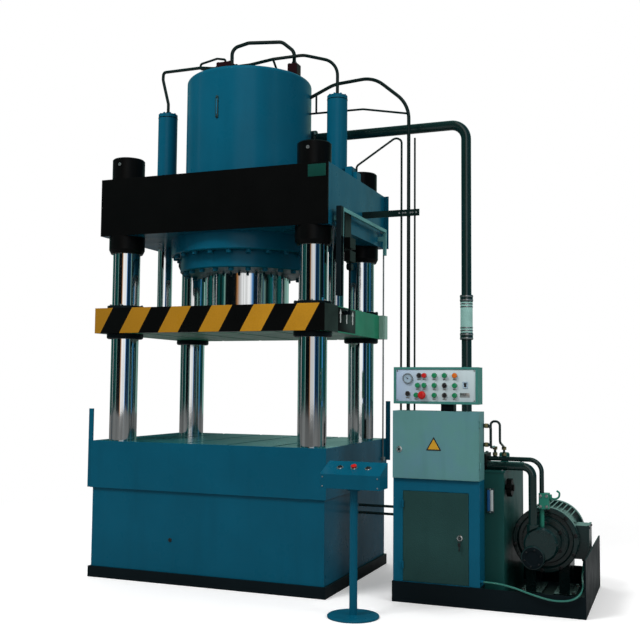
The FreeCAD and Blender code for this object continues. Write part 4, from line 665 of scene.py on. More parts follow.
class PRESS_OT_studio(Operator):
    """Set the camera, the pale floor and the soft lights"""
    bl_idname = "press.studio"
    bl_label = "Studio"

    def execute(self, context):
        self.set_camera(context)
        self.make_floor()
        self.make_lights()
        self.make_sky(context)
        context.scene.view_settings.view_transform = "Standard"
        return {"FINISHED"}

    def set_camera(self, context):
        s = studio()
        yaw, pitch, roll = s.camera_yaw, s.camera_pitch, s.camera_roll
        ahead = Vector((-math.sin(yaw) * math.cos(pitch), math.cos(yaw) * math.cos(pitch),
                        math.sin(pitch)))
        level = Vector((math.cos(yaw), math.sin(yaw), 0))
        upwards = level.cross(ahead)
        right = level * math.cos(roll) + upwards * math.sin(roll)
        up = upwards * math.cos(roll) - level * math.sin(roll)
        deselect()
        bpy.ops.object.camera_add(location=s.camera_place)
        camera = context.object
        camera.name = "photo_camera"
        turn = Matrix((right, up, -ahead)).transposed().to_4x4()
        camera.matrix_world = Matrix.Translation(s.camera_place) @ turn
        camera.data.sensor_fit = "HORIZONTAL"
        camera.data.sensor_width = SENSOR_WIDTH
        camera.data.lens = s.focal_length
        context.scene.camera = camera

    def make_floor(self):
        deselect()
        bpy.ops.mesh.primitive_plane_add(size=80, location=(0, 0, -0.001))
        floor = settle(bpy.context.object, "studio_floor")
        material, tree, shader = new_material("pale_floor")
        tone = spread(tree, noise(tree, 0.8, 4), 0.3, 0.7)
        tree.links.new(mixed(tree, tone, (0.90, 0.90, 0.90), (0.94, 0.94, 0.94)),
                       shader.inputs["Base Color"])
        shader.inputs["Roughness"].default_value = 0.9
        shader.inputs["Specular IOR Level"].default_value = 0.1
        shader.inputs["Emission Color"].default_value = (1, 1, 1, 1)
        shader.inputs["Emission Strength"].default_value = 0.22
        place = add_node(tree, "ShaderNodeTexCoord").outputs["Object"]
        away = add_node(tree, "ShaderNodeVectorMath", {0: place}, operation="LENGTH").outputs["Value"]
        white = add_node(tree, "ShaderNodeEmission", {"Color": (1, 1, 1, 1)}).outputs[0]
        fade = spread(tree, away, FLOOR_SHADED, FLOOR_WHITE)
        seen = add_node(tree, "ShaderNodeMixShader",
                        {0: fade, 1: shader.outputs[0], 2: white}).outputs[0]
        dull = add_node(tree, "ShaderNodeBsdfDiffuse", {"Color": (0.30, 0.31, 0.31, 1)}).outputs[0]
        camera_ray = add_node(tree, "ShaderNodeLightPath").outputs["Is Camera Ray"]
        both = add_node(tree, "ShaderNodeMixShader", {0: camera_ray, 1: dull, 2: seen}).outputs[0]
        tree.links.new(both, tree.nodes["Material Output"].inputs["Surface"])
        floor.data.materials.append(material)

    def make_lights(self):
        s = studio()
        lights = (("key_light", (-2.0, -6.0, 9.5), 3.0, s.key_power),
                  ("fill_light", (8.0, -3.0, 5.5), 3.0, s.fill_power),
                  ("back_light", (-3.0, 6.5, 7.5), 4.0, s.fill_power))
        target = Vector((0.6, 0, 1.6))
        for name, place, size, power in lights:
            deselect()
            bpy.ops.object.light_add(type="AREA", location=place)
            light = bpy.context.object
            light.name = name
            light.data.size = size
            light.data.energy = power
            light.visible_glossy = False
            light.rotation_euler = (target - Vector(place)).to_track_quat("-Z", "Y").to_euler()

    def make_sky(self, context):
        """An even white sky, with dark and bright upright bands that only gloss mirrors."""
        world = bpy.data.worlds.new("studio_sky")
        context.scene.world = world
        world.use_nodes = True
        tree = world.node_tree
        tree.nodes.clear()
        way = add_node(tree, "ShaderNodeTexCoord").outputs["Generated"]
        split = add_node(tree, "ShaderNodeSeparateXYZ", {0: way})
        compass = add_node(tree, "ShaderNodeMath", {0: split.outputs["Y"], 1: split.outputs["X"]},
                           operation="ARCTAN2").outputs[0]
        ramp = add_node(tree, "ShaderNodeValToRGB", {0: spread(tree, compass, -math.pi, math.pi)})
        elements = ramp.color_ramp.elements
        while len(elements) < len(STUDIO_STRIPS):
            elements.new(0.5)
        for element, (degrees, colour) in zip(elements, STUDIO_STRIPS):
            element.position = degrees / 360 + 0.5
            element.color = (*colour, 1)
        path = add_node(tree, "ShaderNodeLightPath")
        colour = mixed(tree, path.outputs["Is Glossy Ray"], (1, 1, 1), ramp.outputs[0])
        even = add_node(tree, "ShaderNodeBackground", {"Color": colour,
                                                       "Strength": studio().sky}).outputs[0]
        white = add_node(tree, "ShaderNodeBackground", {"Color": (1, 1, 1, 1),
                                                        "Strength": 1.0}).outputs[0]
        both = add_node(tree, "ShaderNodeMixShader", {0: path.outputs["Is Camera Ray"], 1: even,
                                                      2: white}).outputs[0]
        add_node(tree, "ShaderNodeOutputWorld", {"Surface": both})


NODE_FINISHES = {
    "bed_plinth": "dark_paint", "bed_body": "blue_paint", "bed_apron": "blue_paint",
    "table_plate": "table_steel", "columns": "chrome", "column_nuts": "black_paint",
    "column_collars": "black_paint", "crown_body": "blue_paint", "crown_front_plate": "black_paint",
    "main_cylinder": "blue_paint", "cylinder_flange": "blue_paint", "cylinder_gland": "blue_paint",
    "slide_body": "slide_green", "slide_front_plate": "hazard_paint", "guide_bushes": "dark_paint",
    "ram": "chrome", "return_rods": "chrome", "return_cylinders": "blue_paint",
    "return_valve_block": "blue_paint", "pilot_blocks": "valve_red", "top_pipes": "dark_pipe",
    "pilot_pipes": "dark_pipe", "pipe_bracket": "dark_pipe", "suction_pipe": "pipe_green",
    "suction_sleeve": "sleeve_rubber", "sensor_posts": "blue_paint", "limit_frame": "bar_grey",
    "limit_rail": "dark_paint", "striker_rod": "dark_paint", "power_tray": "dark_paint",
    "cabinet_plinth": "dark_paint", "oil_tank": "tank_green", "tank_lid": "tank_green",
    "level_gauge": "gauge_clear", "tank_handwheel": "black_paint", "motor": "motor_green",
    "motor_terminal_box": "motor_green", "pump": "motor_green", "pump_pipes": "pipe_green",
    "relief_valve": "valve_green", "cabinet_lower": "cabinet_blue", "lower_door": "door_paint",
    "cabinet_upper": "grey_paint", "upper_door": "grey_paint", "cabinet_hinges": "hinge_paint",
    "panel_neck": "dark_paint", "control_panel": "panel_case", "panel_buttons": "button_plastic",
    "stand_pole": "blue_paint", "stand_box": "blue_paint", "stand_buttons": "button_plastic",
    "link_pipes": "pipe_green", "tank_manifolds": "black_paint", "guide_rod": "bare_steel",
    "gauge_pipes": "pipe_green", "limit_switches": "black_paint", "motor_conduit": "zinc",
}


class PRESS_OT_frame_finishes(Operator):
    """Paint, chrome or polish every piece of the press's frame"""
    bl_idname = "press.frame_finishes"
    bl_label = "Frame finishes"

    def execute(self, context):
        for node in NODES:
            finish_piece(NODES[node], NODE_FINISHES[node])
        return {"FINISHED"}


# Route of the motor's conduit, from the cabinet's gland to the one under the terminal box
CONDUIT_ROUTE = ((2.210, -0.575, 0.190), (2.290, -0.580, 0.192), (2.430, -0.610, 0.178),
                 (2.570, -0.636, 0.142), (2.710, -0.641, 0.113), (2.820, -0.640, 0.122),
                 (2.875, -0.636, 0.150), (2.903, -0.600, 0.182), (2.905, -0.530, 0.200),
                 (2.893, -0.420, 0.203), (2.878, -0.290, 0.198), (2.864, -0.165, 0.203),
                 (2.857, -0.060, 0.213), (2.855, 0.015, 0.240), (2.855, 0.040, 0.285))


class PRESS_OT_motor_conduit(Operator):
    """Cable conduit that lies from the cabinet round the tray to the motor's terminal box"""
    bl_idname = "press.motor_conduit"
    bl_label = "Motor conduit"

    def execute(self, context):
        curve = bpy.data.curves.new("motor_cable_conduit", "CURVE")
        curve.dimensions = "3D"
        line = curve.splines.new("NURBS")
        line.points.add(len(CONDUIT_ROUTE) - 1)
        for point, place in zip(line.points, CONDUIT_ROUTE):
            point.co = (*place, 1)
        line.order_u = 3
        line.use_endpoint_u = True
        line.resolution_u = 10
        curve.bevel_depth = trim().conduit_diameter / 2
        curve.bevel_resolution = 5
        curve.use_fill_caps = True
        conduit = bpy.data.objects.new("motor_cable_conduit", curve)
        context.collection.objects.link(conduit)
        place_piece(conduit, "conduit_steel")
        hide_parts("motor_conduit")
        return {"FINISHED"}


class PRESS_OT_cylinder_bolts(Operator):
    """Bolts round the rings under the crown, and the bolts and seams of the return cylinders' caps"""
    bl_idname = "press.cylinder_bolts"
    bl_label = "Cylinder bolts"

    def execute(self, context):
        for node, inset in (("cylinder_flange", 0.040), ("cylinder_gland", 0.044)):
            low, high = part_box(node)
            ring = ring_of(trim().ring_bolts, high.x - inset, -low.z, (0, 0, -1), first=0.06)
            fitted(socket_screw(trim().ring_bolt_radius, 0.026), f"{node}_bolts", ring, "blue_paint")
        low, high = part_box("return_cylinders")
        radius = (high.y - low.y) / 2
        places, bands = [], []
        for x in (low.x + radius, high.x - radius):
            places += ring_of(trim().cap_bolts, radius - 0.018, high.z, centre=(x, 0, 0))
            bands.append(((x, 0, high.z - 0.036), UP, 0))
        fitted(socket_screw(0.010, 0.012), "return_cap_bolts", places, "blue_paint")
        inner, outer = radius - 0.002, radius + 0.0025
        seam = raised("seam", ((inner, 0), (outer, 0.001), (outer, 0.005), (inner, 0.006)), 48)
        fitted(seam, "return_cap_seams", bands, "black_paint")
        return {"FINISHED"}


class PRESS_OT_column_screws(Operator):
    """Screws on the guide bushes and the locking screw of each column nut"""
    bl_idname = "press.column_screws"
    bl_label = "Column screws"

    def execute(self, context):
        low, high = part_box("guide_bushes")
        lock_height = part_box("column_nuts")[1].z - 0.062
        bushes, locks = [], []
        for x in (low.x + BUSH_RADIUS, high.x - BUSH_RADIUS):
            for y in (low.y + BUSH_RADIUS, high.y - BUSH_RADIUS):
                bushes += ring_of(8, BUSH_SCREW_CIRCLE, high.z, centre=(x, y, 0), first=0.3)
                locks.append(((x, y - NUT_RADIUS, lock_height), FRONT, 0))
        fitted(socket_screw(0.010, 0.010), "guide_bush_screws", bushes, body="slide")
        fitted(socket_screw(0.014, 0.008), "column_nut_screws", locks)
        return {"FINISHED"}


class PRESS_OT_sight_gauge(Operator):
    """Narrow sight gauge let into the front of the main cylinder"""
    bl_idname = "press.sight_gauge"
    bl_label = "Sight gauge"

    def execute(self, context):
        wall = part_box("main_cylinder")[0].y + 0.001
        x, bottom, top = SIGHT_GAUGE_X, SIGHT_GAUGE_BOTTOM, SIGHT_GAUGE_TOP
        case = slab("case", (x - 0.012, wall - 0.011, bottom), (x + 0.012, wall + 0.006, top), 0.005, 3)
        sunk(case, FRONT, 0.003, 0.004)
        ends = repeated(hex_bolt(0.007, 0.006), "ends",
                        [((x, wall - 0.010, z), FRONT, 0) for z in (bottom + 0.014, top - 0.014)])
        place_piece(joined("sight_gauge_frame", case, ends), "gauge_clear")
        glass = slab("sight_gauge_glass", (x - 0.006, wall - 0.010, bottom + 0.028),
                     (x + 0.006, wall - 0.004, top - 0.028))
        place_piece(glass, "sight_glass")
        return {"FINISHED"}


def arrow(length, width, thickness):
    """Flat arrow that points along +Y, from a triangle whose base is pulled down."""
    deselect()
    bpy.ops.mesh.primitive_circle_add(vertices=3, radius=width / math.sqrt(3), fill_type="NGON",
                                      location=(0, 0, 0))
    piece = settle(bpy.context.object, "arrow")
    base = min(corner.co.y for corner in piece.data.vertices)
    edit(piece)
    pick(piece, "EDGE", lambda middle, facing: abs(middle.y - base) < 1e-5)
    bpy.ops.mesh.extrude_edges_move(TRANSFORM_OT_translate={"value": (0, 0, 0)})
    bpy.ops.transform.resize(value=(0.42, 1, 1), center_override=(0, base, 0))
    bpy.ops.mesh.extrude_edges_move(TRANSFORM_OT_translate={"value": (0, base * 3 - length / 2, 0)})
    bpy.ops.mesh.select_all(action="SELECT")
    bpy.ops.mesh.remove_doubles(threshold=1e-6)
    bpy.ops.mesh.dissolve_degenerate(threshold=1e-6)
    bpy.ops.mesh.select_all(action="SELECT")
    pull(z=thickness)
    bpy.ops.object.mode_set(mode="OBJECT")
    face_outwards(piece)
    return piece


class PRESS_OT_slide_plates(Operator):
    """Black plate with three arrows on the slide's side"""
    bl_idname = "press.slide_plates"
    bl_label = "Slide plates"

    def execute(self, context):
        low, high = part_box("slide_front_plate")
        side = high.x - 0.011
        front, back = high.y + 0.004, ARROW_PLATE_BACK
        plate = slab("arrow_plate", (side - 0.002, front, low.z + 0.012),
                     (side + 0.004, back, high.z - 0.008), 0.0015)
        place_piece(plate, "black_paint", "slide")
        tip = (low.z + high.z) / 2 + 0.060
        step = (back - front) / 3
        places = [((side + 0.0035, front + step * (index + 0.5), tip), RIGHT, 0) for index in range(3)]
        fitted(arrow(0.060, 0.048, 0.0015), "direction_arrows", places, "arrow_white",
               "slide")
        return {"FINISHED"}


class PRESS_OT_plates(Operator):
    """Bare dark plate on the crown's front, plain triangle on the cabinet, bed plug"""
    bl_idname = "press.plates"
    bl_label = "Bare plates"

    def execute(self, context):
        low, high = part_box("crown_front_plate")
        left, right = CROWN_PLATE_X
        plate = slab("crown_plate", (left, low.y - 0.003, high.z - 0.112),
                     (right, low.y + 0.002, high.z - 0.014), 0.001)
        rivets = repeated(socket_screw(0.004, 0.002), "rivets",
                          [((x, low.y - 0.003, z), FRONT, 0) for x in CROWN_RIVETS_X
                           for z in (high.z - 0.101, high.z - 0.025)])
        place_piece(joined("crown_plate", plate, rivets), "plate_green")

        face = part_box("upper_door")[1].y - DOOR_SHEET
        x, z = TRIANGLE_PLACE
        border = self.triangle("triangle_border", 0.068, 0.0022)
        inner = self.triangle("warning_triangle", 0.051, 0.0010)
        border = stood(border, "triangle_border", (x, face + 0.0006, z), FRONT)
        inner = stood(inner, "warning_triangle", (x, face - 0.0014, z), FRONT)
        place_piece(border, "push_black", "upper_door")
        place_piece(inner, "warning_yellow", "upper_door")

        x, z = BED_PLUG_PLACE
        fronted("bed_plug", ((0.016, -0.002), (0.016, 0.003), (0.012, 0.006), (0.006, 0.006),
                             (0.006, 0.002)), 20, (x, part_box("bed_body")[0].y, z), "black_steel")
        return {"FINISHED"}

    def triangle(self, name, radius, thickness):
        deselect()
        bpy.ops.mesh.primitive_circle_add(vertices=3, radius=radius, fill_type="NGON",
                                          location=(0, 0, 0))
        piece = settle(bpy.context.object, name)
        edit(piece)
        bpy.ops.mesh.select_all(action="SELECT")
        pull(z=thickness)
        bpy.ops.object.mode_set(mode="OBJECT")
        face_outwards(piece)
        edit(piece)
        pick(piece, "EDGE", lambda middle, facing: abs(middle.z - thickness / 2) < thickness / 4)
        bpy.ops.mesh.bevel(offset=radius * 0.10, segments=4)
        bpy.ops.object.mode_set(mode="OBJECT")
        return piece


class PRESS_OT_pipe_fittings(Operator):
    """Brass nuts, flange bolts, pipe clamps and the bolts of the pipe blocks"""
    bl_idname = "press.pipe_fittings"
    bl_label = "Pipe fittings"

    def execute(self, context):
        self.gauge_pipe_nuts()
        self.suction_fittings()
        self.pilot_clamps()
        self.block_bolts()
        return {"FINISHED"}

    def gauge_pipe_nuts(self):
        low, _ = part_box("gauge_pipes")
        nuts = [((low.x + out, GAUGE_STUB_Y, low.z + rise), UP, 0)
                for out in (0.054, 0.122) for rise in (0.006, 0.050)]
        nuts += [((low.x + 0.012, GAUGE_PIPE_Y, z), RIGHT, 0.4) for z in GAUGE_PIPE_HEIGHTS]
        nut = raised("nut", ((0.019, 0), (0.019, 0.020), (0.017, 0.023), (0.011, 0.023)), 6)
        fitted(nut, "gauge_pipe_nuts", nuts, "bronze")

    def suction_fittings(self):
        """Bolts at the lid and the cylinder, and the bands on the coupling and the sleeve."""
        low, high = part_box("suction_pipe")
        cylinder_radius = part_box("main_cylinder")[1].x
        x, y, z = high.x - SUCTION_FLANGE_RADIUS, (low.y + high.y) / 2, high.z - SUCTION_FLANGE_RADIUS
        bolts = ring_of(6, FLANGE_BOLT_CIRCLE, low.z + FLANGE_THICKNESS, centre=(x, y, 0), first=0.5)
        wall = math.sqrt(cylinder_radius ** 2 - (y - SUCTION_FLANGE_RADIUS) ** 2) + FLANGE_THICKNESS
        bolts += ring_of(6, FLANGE_BOLT_CIRCLE, wall, RIGHT, (0, y, z), 0.5)
        fitted(hex_bolt(trim().small_bolt_radius, 0.009), "suction_flange_bolts", bolts)

        low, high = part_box("suction_sleeve")
        collar = raised("collar", ((0.0545, 0), (0.0560, 0.003), (0.0560, 0.010), (0.0545, 0.013)), 48)
        heights = (low.z - 0.052, low.z - 0.020, high.z + 0.008, high.z + 0.040)
        fitted(collar, "coupling_bands", [((x, y, z), UP, 0) for z in heights])
        grip = raised("grip", ((0.0505, 0), (0.0535, 0.002), (0.0535, 0.010), (0.0505, 0.012)), 48)
        rises = (0.012, 0.036, 0.212, 0.236)
        fitted(grip, "sleeve_clamps", [((x, y, low.z + rise), UP, 0) for rise in rises])

    def pilot_clamps(self):
        low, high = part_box("pipe_bracket")
        middle = (low.z + high.z) / 2
        nuts = [((x + side * (radius + 0.007), low.y, middle), FRONT, 0.2)
                for x, radius in PILOT_PIPES for side in (-1, 1)]
        clamps = [self.clamp(x, high.y, middle, radius) for x, radius in PILOT_PIPES]
        fitted(hex_bolt(0.0065, 0.007), "clamp_nuts", nuts)
        place_piece(joined("pipe_clamps", *clamps), "zinc")

    def block_bolts(self):
        bolts = []
        for (left, right), (front, back), top, inset in TANK_BLOCKS:
            across = (left + inset, right - inset)
            bolts += [((x, y, top), UP, 0) for x in across for y in (front + inset, back - inset)]
            bolts += [((x, front, z), FRONT, 0)
                      for x in across for z in (TANK_BLOCK_LOW_BOLTS, top - inset)]
        fitted(socket_screw(0.011, 0.010), "manifold_bolts", bolts)
        bolts = [((x + right * (width / 2 - 0.014), y + back * (depth / 2 - 0.014), top), UP, 0)
                 for x, y, width, depth, top in PILOT_BLOCKS for right in (-1, 1) for back in (-1, 1)]
        fitted(socket_screw(0.008, 0.007), "pilot_block_bolts", bolts)

    def clamp(self, x, back, z, radius):
        """Half ring that holds a pipe against the bracket."""
        deselect()
        bpy.ops.mesh.primitive_torus_add(location=(x, back + radius, z), major_segments=28,
                                         minor_segments=8, major_radius=radius + 0.005,
                                         minor_radius=0.003, rotation=(0, 0, 0))
        return settle(bpy.context.object, "clamp")


class PRESS_OT_cabinet_trim(Operator):
    """Lock rings and cores of both doors, and the lower door's keys"""
    bl_idname = "press.cabinet_trim"
    bl_label = "Cabinet trim"

    def execute(self, context):
        self.lock("upper_door", *UPPER_LOCK)
        self.lock("lower_door", *LOWER_LOCK)
        x, z = LOWER_LOCK
        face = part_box("lower_door")[0].y
        bow = slab("bow", (x - 0.0012, face - 0.016, z - 0.006), (x + 0.0012, face, z + 0.006), 0.0006)
        place_piece(self.hanging_key(x, face, z), "black_steel", "lower_door")
        place_piece(settle(bow, "lower_door_key"), "bright_chrome", "lower_door")
        return {"FINISHED"}

    def lock(self, door, x, z):
        """Ring on the door's sheet and core in its lock, which stands out from the sheet."""
        low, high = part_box(door)
        fronted(f"{door}_lock_ring", ((0.022, -0.002), (0.022, 0.004), (0.019, 0.006),
                                      (0.0135, 0.006)), 28, (x, high.y - DOOR_SHEET, z),
                "bright_chrome", door)
        fronted(f"{door}_lock_core", ((0.010, -0.001), (0.010, 0.001), (0.008, 0.0018),
                                      (0.002, 0.0018)), 20, (x, low.y, z), "push_black",
                door)

    def hanging_key(self, x, face, z):
        """Ring through the key's bow, with the spare key hanging under it."""
        deselect()
        bpy.ops.mesh.primitive_torus_add(location=(x, face - 0.012, z - 0.018), major_segments=32,
                                         minor_segments=8, major_radius=0.013, minor_radius=0.0011,
                                         rotation=(math.pi / 2, 0.25, 0.3))
        ring = settle(bpy.context.object, "ring")
        front, back = face - 0.0125, face - 0.0105
        head = slab("head", (x - 0.011, front, z - 0.058), (x + 0.011, back, z - 0.032), 0.0009)
        blade = slab("blade", (x - 0.0045, front, z - 0.092), (x + 0.0045, back, z - 0.056), 0.0009)
        return joined("hanging_key", ring, head, blade)


# Controls as (x, z, kind) from the panel case's lower left corner
PANEL_CONTROLS = (
    (0.198, 0.212, "selector"), (0.237, 0.212, "push_red"), (0.315, 0.212, "button_plastic"),
    (0.392, 0.212, "button_plastic"), (0.469, 0.212, "push_orange"),
    (0.187, 0.138, "button_plastic"), (0.237, 0.138, "button_plastic"),
    (0.315, 0.138, "button_plastic"), (0.392, 0.138, "selector"), (0.469, 0.138, "button_plastic"),
    (0.176, 0.065, "button_plastic"), (0.315, 0.065, "button_plastic"),
    (0.392, 0.065, "selector"), (0.469, 0.065, "button_plastic"), (0.110, 0.075, "selector"))
EMERGENCY_STOP = (0.224, 0.065)
DIAL = (0.110, 0.190)


class PRESS_OT_panel_face(Operator):
    """Pale anodised sheet behind the controls, the counter and the bare labels"""
    bl_idname = "press.panel_face"
    bl_label = "Panel face"

    def execute(self, context):
        low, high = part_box("control_panel")
        face = low.y + 0.006
        sheet = slab("panel_sheet", (low.x + 0.0185, face - 0.0022, low.z + 0.0185),
                     (high.x - 0.0185, face + 0.001, high.z - 0.0185), 0.0008)
        place_piece(sheet, "panel_sheet")
        x, z = low.x + COUNTER_PLACE[0], low.z + COUNTER_PLACE[1]
        case = slab("counter_frame", (x - 0.020, face - 0.007, z - 0.024),
                    (x + 0.020, face, z + 0.026), 0.003, 3)
        sunk(case, FRONT, 0.005, 0.002)
        place_piece(case, "dial_white")
        glass = slab("counter_window", (x - 0.008, face - 0.0065, z - 0.013),
                     (x + 0.008, face - 0.004, z + 0.015), 0.001)
        place_piece(glass, "push_black")
        label = slab("panel_label", (x - 0.040, face - 0.0032, low.z + 0.052),
                     (x + 0.034, face - 0.001, low.z + 0.084), 0.0006)
        place_piece(label, "zinc")
        tags = [slab("tag", (low.x + right - 0.014, face - 0.0030, low.z + up - 0.0345),
                     (low.x + right + 0.014, face - 0.001, low.z + up - 0.0245), 0.0004)
                for right, up, _ in PANEL_CONTROLS]
        place_piece(joined("control_tags", *tags), "zinc")
        screws = [((x, face - 0.002, z), FRONT, 0)
                  for x in (low.x + 0.028, high.x - 0.028) for z in (low.z + 0.028, high.z - 0.028)]
        fitted(socket_screw(0.005, 0.003), "panel_screws", screws)
        return {"FINISHED"}


class PRESS_OT_panel_controls(Operator):
    """Push buttons, selectors, the emergency stop and the round dial"""
    bl_idname = "press.panel_controls"
    bl_label = "Panel controls"

    def execute(self, context):
        low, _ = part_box("control_panel")
        face = low.y + 0.004
        size = trim().push_radius
        spots = [((low.x + x, face, low.z + z), FRONT, 0) for x, z, _ in PANEL_CONTROLS]
        kinds = [kind for _, _, kind in PANEL_CONTROLS]
        bezel = raised("bezel", ((size, 0), (size, 0.005), (size * 0.97, 0.007),
                                 (size * 0.90, 0.007), (size * 0.90, 0.003)))
        bezels = fitted(bezel, "control_bezels", spots, "bright_chrome")
        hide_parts("panel_buttons")
        for kind in ("push_red", "button_plastic", "push_orange"):
            cap = raised("cap", ((size * 0.88, 0.002), (size * 0.88, 0.016), (size * 0.78, 0.021),
                                 (size * 0.40, 0.023)), 24)
            places = [spot for spot, made in zip(spots, kinds) if made == kind]
            fitted(cap, f"{kind}_caps", places, kind)
        wide = size * 0.72
        collar = raised("collar", ((wide, 0.002), (wide, 0.010), (size * 0.60, 0.012)), 24)
        lever = slab("lever", (-size * 0.20, -wide, 0.008), (size * 0.20, wide, 0.026))
        knobs = [spot for spot, made in zip(spots, kinds) if made == "selector"]
        places = [(place, axis, turn) for (place, axis, _), turn in zip(knobs, (0.5, -0.5, 0.0, 0.6))]
        fitted(joined("knob", collar, lever), "selector_knobs", places, "push_black")
        self.emergency_stop(low, face)
        self.dial(low, face)
        return {"FINISHED"}

    def emergency_stop(self, low, face):
        place = (low.x + EMERGENCY_STOP[0], face, low.z + EMERGENCY_STOP[1])
        size = trim().stop_radius
        fronted("stop_collar", ((size * 1.16, -0.001), (size * 1.16, 0.003), (size * 1.08, 0.0045),
                                (size * 0.5, 0.0045)), 36, place, "zinc")
        fronted("emergency_stop", ((size * 0.46, 0.003), (size * 0.46, 0.018), (size * 0.92, 0.021),
                                   (size, 0.025), (size * 0.97, 0.030), (size * 0.78, 0.035),
                                   (size * 0.40, 0.038)), 36, place, "push_red")

    def dial(self, low, face):
        place = Vector((low.x + DIAL[0], face, low.z + DIAL[1]))
        size = trim().dial_radius
        fronted("dial_ring", ((size, -0.001), (size, 0.010), (size * 0.94, 0.014),
                              (size * 0.84, 0.014), (size * 0.82, 0.009)), 48, place, "zinc")
        fronted("dial_plate", ((size * 0.81, 0.004), (size * 0.81, 0.0095)), 48, place, "dial_white")
        tick = slab("tick", (-0.0006, size * 0.60, 0.0094), (0.0006, size * 0.74, 0.0100), 0.0002, 1)
        ticks = repeated(tick, "dial_ticks",
                         [(place, FRONT, math.radians(angle)) for angle in range(-135, 136, 27)])
        needle = slab("needle", (-0.0011, -size * 0.18, 0.0102), (0.0011, size * 0.64, 0.0112),
                      0.0004, 1)
        hub = raised("hub", ((0.004, 0.0094), (0.004, 0.0125), (0.002, 0.0130)), 16)
        hand = repeated(joined("hand", needle, hub), "dial_hand", [(place, FRONT, 0.9)])
        place_piece(joined("dial_marks", ticks, hand), "push_black")


class PRESS_OT_stand_controls(Operator):
    """The stand's red stop between its two start buttons, and its box's screws"""
    bl_idname = "press.stand_controls"
    bl_label = "Stand controls"

    def execute(self, context):
        low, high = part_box("stand_box")
        middle = Vector((low.x + high.x, low.y + high.y, STAND_FRONT_TOP + high.z)) / 2
        slope = Vector((0, high.y - low.y, high.z - STAND_FRONT_TOP)).normalized()
        normal = Vector((0, -slope.z, slope.y))
        places = [(middle + Vector((side, 0, 0)), normal, 0) for side in (-0.105, 0, 0.105)]
        bezel = raised("bezel", ((0.024, -0.001), (0.024, 0.004), (0.021, 0.007), (0.016, 0.007),
                                 (0.016, 0.003)), 28)
        bezels = fitted(bezel, "stand_bezels", places, "bright_chrome")
        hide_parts("stand_buttons")
        start = raised("start", ((0.015, 0.002), (0.015, 0.011), (0.013, 0.013), (0.006, 0.013)), 28)
        fitted(start, "start_buttons", places[::2], "push_black")
        stop = raised("stop", ((0.010, 0.003), (0.010, 0.012), (0.020, 0.014), (0.0215, 0.018),
                               (0.019, 0.023), (0.008, 0.025)), 32)
        fitted(stop, "stand_stop", places[1:2], "push_red")
        screws = [((low.x + x, low.y, low.z + z), FRONT, 0) for x in (0.018, 0.422)
                  for z in (0.016, 0.080)]
        fitted(socket_screw(0.005, 0.003), "stand_box_screws", screws)
        return {"FINISHED"}


class PRESS_OT_tank_trim(Operator):
    """Lid bolts and the level gauge's glass and scale"""
    bl_idname = "press.tank_trim"
    bl_label = "Tank trim"

    def execute(self, context):
        low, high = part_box("tank_lid")
        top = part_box("tank_manifolds")[0].z
        xs = [low.x + 0.022 + (high.x - low.x - 0.044) * part / 5 for part in range(6)]
        ys = [low.y + 0.020 + (high.y - low.y - 0.040) * part / 6 for part in range(7)]
        places = [((x, y, top), UP, 0) for x in xs for y in (ys[0], ys[-1])]
        places += [((x, y, top), UP, 0) for y in ys[1:-1] for x in (xs[0], xs[-1])]
        fitted(hex_bolt(0.008, 0.007), "tank_lid_bolts", places)
        low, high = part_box("level_gauge")
        for name, start, end, finish in (("gauge_glass", 0.006, 0.026, "gauge_blue"),
                                         ("gauge_scale", 0.030, 0.050, "gauge_white")):
            strip = slab(name, (low.x + start, low.y - 0.0015, low.z + 0.014),
                         (low.x + end, low.y + 0.002, high.z - 0.014), 0.001)
            place_piece(strip, finish)
        screws = [(((low.x + high.x) / 2, low.y, z), FRONT, 0)
                  for z in (low.z + 0.007, high.z - 0.007)]
        fitted(socket_screw(0.005, 0.003), "gauge_screws", screws)
        return {"FINISHED"}


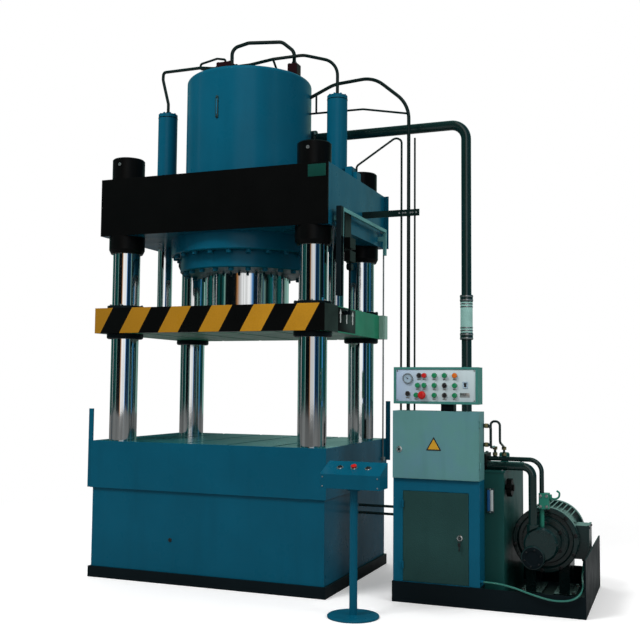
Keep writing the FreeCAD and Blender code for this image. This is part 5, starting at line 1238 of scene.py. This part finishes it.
class PRESS_OT_motor_trim(Operator):
    """Bolts of the motor's bell, pump, feet, terminal lid and relief valve, and the pump head's disc"""
    bl_idname = "press.motor_trim"
    bl_label = "Motor trim"

    def execute(self, context):
        pump_low, pump_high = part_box("pump")
        motor_low, motor_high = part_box("motor")
        middle = (motor_low.x + motor_high.x) / 2
        centre = Vector((middle, 0, MOTOR_AXIS_HEIGHT))
        head = Vector((middle + PUMP_HEAD_SHIFT, 0, PUMP_HEAD_HEIGHT))
        flange_front = pump_high.y - PUMP_FLANGE
        front = flange_front - PUMP_NECK - PUMP_BODY
        bolts = ring_of(10, 0.229, -motor_low.y, FRONT, centre, 0.2)
        bolts += ring_of(6, 0.132, -flange_front, FRONT, centre, 0.52)
        fitted(hex_bolt(0.012, 0.012), "motor_bell_bolts", bolts, "black_steel")
        beside = head + Vector((0, front, 0))
        shown = [spot for spot in ring_of(8, 0.106, -front, FRONT, centre, 0.2)
                 if (spot[0] - beside).length > PUMP_HEAD_CLEAR]
        fitted(socket_screw(0.009, 0.009), "pump_cover_screws", shown, "motor_green")
        fronted("pump_head_disc", ((0.078, -0.001), (0.078, 0.002), (0.070, 0.0035), (0.052, 0.0035),
                                   (0.050, 0.001), (0.020, 0.001)), 48, (head.x, pump_low.y, head.z),
                "dark_paint")
        fitted(socket_screw(0.0065, 0.005), "pump_head_screws",
               ring_of(6, 0.061, 0.003 - pump_low.y, FRONT, head, 0.3), "black_steel")
        box_low, box_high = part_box("motor_terminal_box")
        rim = 0.020
        screws = [((box_high.x, y, z), RIGHT, 0) for y in (box_low.y + rim, box_high.y - rim)
                  for z in (TERMINAL_LID_BOTTOM + rim, box_high.z - rim)]
        fitted(hex_bolt(0.007, 0.006), "terminal_lid_screws", screws, "black_steel")
        feet = [((middle + aside, y, MOTOR_FOOT_TOP), UP, 0)
                for aside in (-FOOT_BOLTS_ASIDE, FOOT_BOLTS_ASIDE) for y in FOOT_BOLTS_BACK]
        fitted(hex_bolt(0.014, 0.014), "motor_foot_bolts", feet)
        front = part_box("relief_valve")[0].y
        screws = [((x, front, z), FRONT, 0) for x in RELIEF_BOLTS_X for z in RELIEF_BOLTS_Z]
        fitted(hex_bolt(0.009, 0.009), "relief_valve_bolts", screws, "bare_steel")
        return {"FINISHED"}


OPERATORS = (PRESS_OT_studio, PRESS_OT_motor_conduit, PRESS_OT_frame_finishes,
             PRESS_OT_cylinder_bolts, PRESS_OT_column_screws, PRESS_OT_sight_gauge,
             PRESS_OT_slide_plates, PRESS_OT_plates, PRESS_OT_pipe_fittings,
             PRESS_OT_cabinet_trim, PRESS_OT_panel_face, PRESS_OT_panel_controls,
             PRESS_OT_stand_controls, PRESS_OT_tank_trim, PRESS_OT_motor_trim)


class PRESS_PT_sidebar(Panel):
    """Everything on the press, in the order it is made"""
    bl_idname = "PRESS_PT_sidebar"
    bl_label = "Press"
    bl_space_type = "VIEW_3D"
    bl_region_type = "UI"
    bl_category = "Press"

    def draw(self, context):
        for operator in OPERATORS:
            self.layout.operator(operator.bl_idname)


CLASSES = (PressColours, PressTrim, PressStudio, *OPERATORS, PRESS_PT_sidebar)


def register():
    for made in CLASSES:
        bpy.utils.register_class(made)
    bpy.types.Scene.press_colours = PointerProperty(type=PressColours)
    bpy.types.Scene.press_trim = PointerProperty(type=PressTrim)
    bpy.types.Scene.press_studio = PointerProperty(type=PressStudio)


def unregister():
    del bpy.types.Scene.press_studio
    del bpy.types.Scene.press_trim
    del bpy.types.Scene.press_colours
    for made in reversed(CLASSES):
        bpy.utils.unregister_class(made)


def main():
    register()
    for operator in OPERATORS:
        group, name = operator.bl_idname.split(".")
        getattr(getattr(bpy.ops, group), name)()


if __name__ == "__main__":
    main()
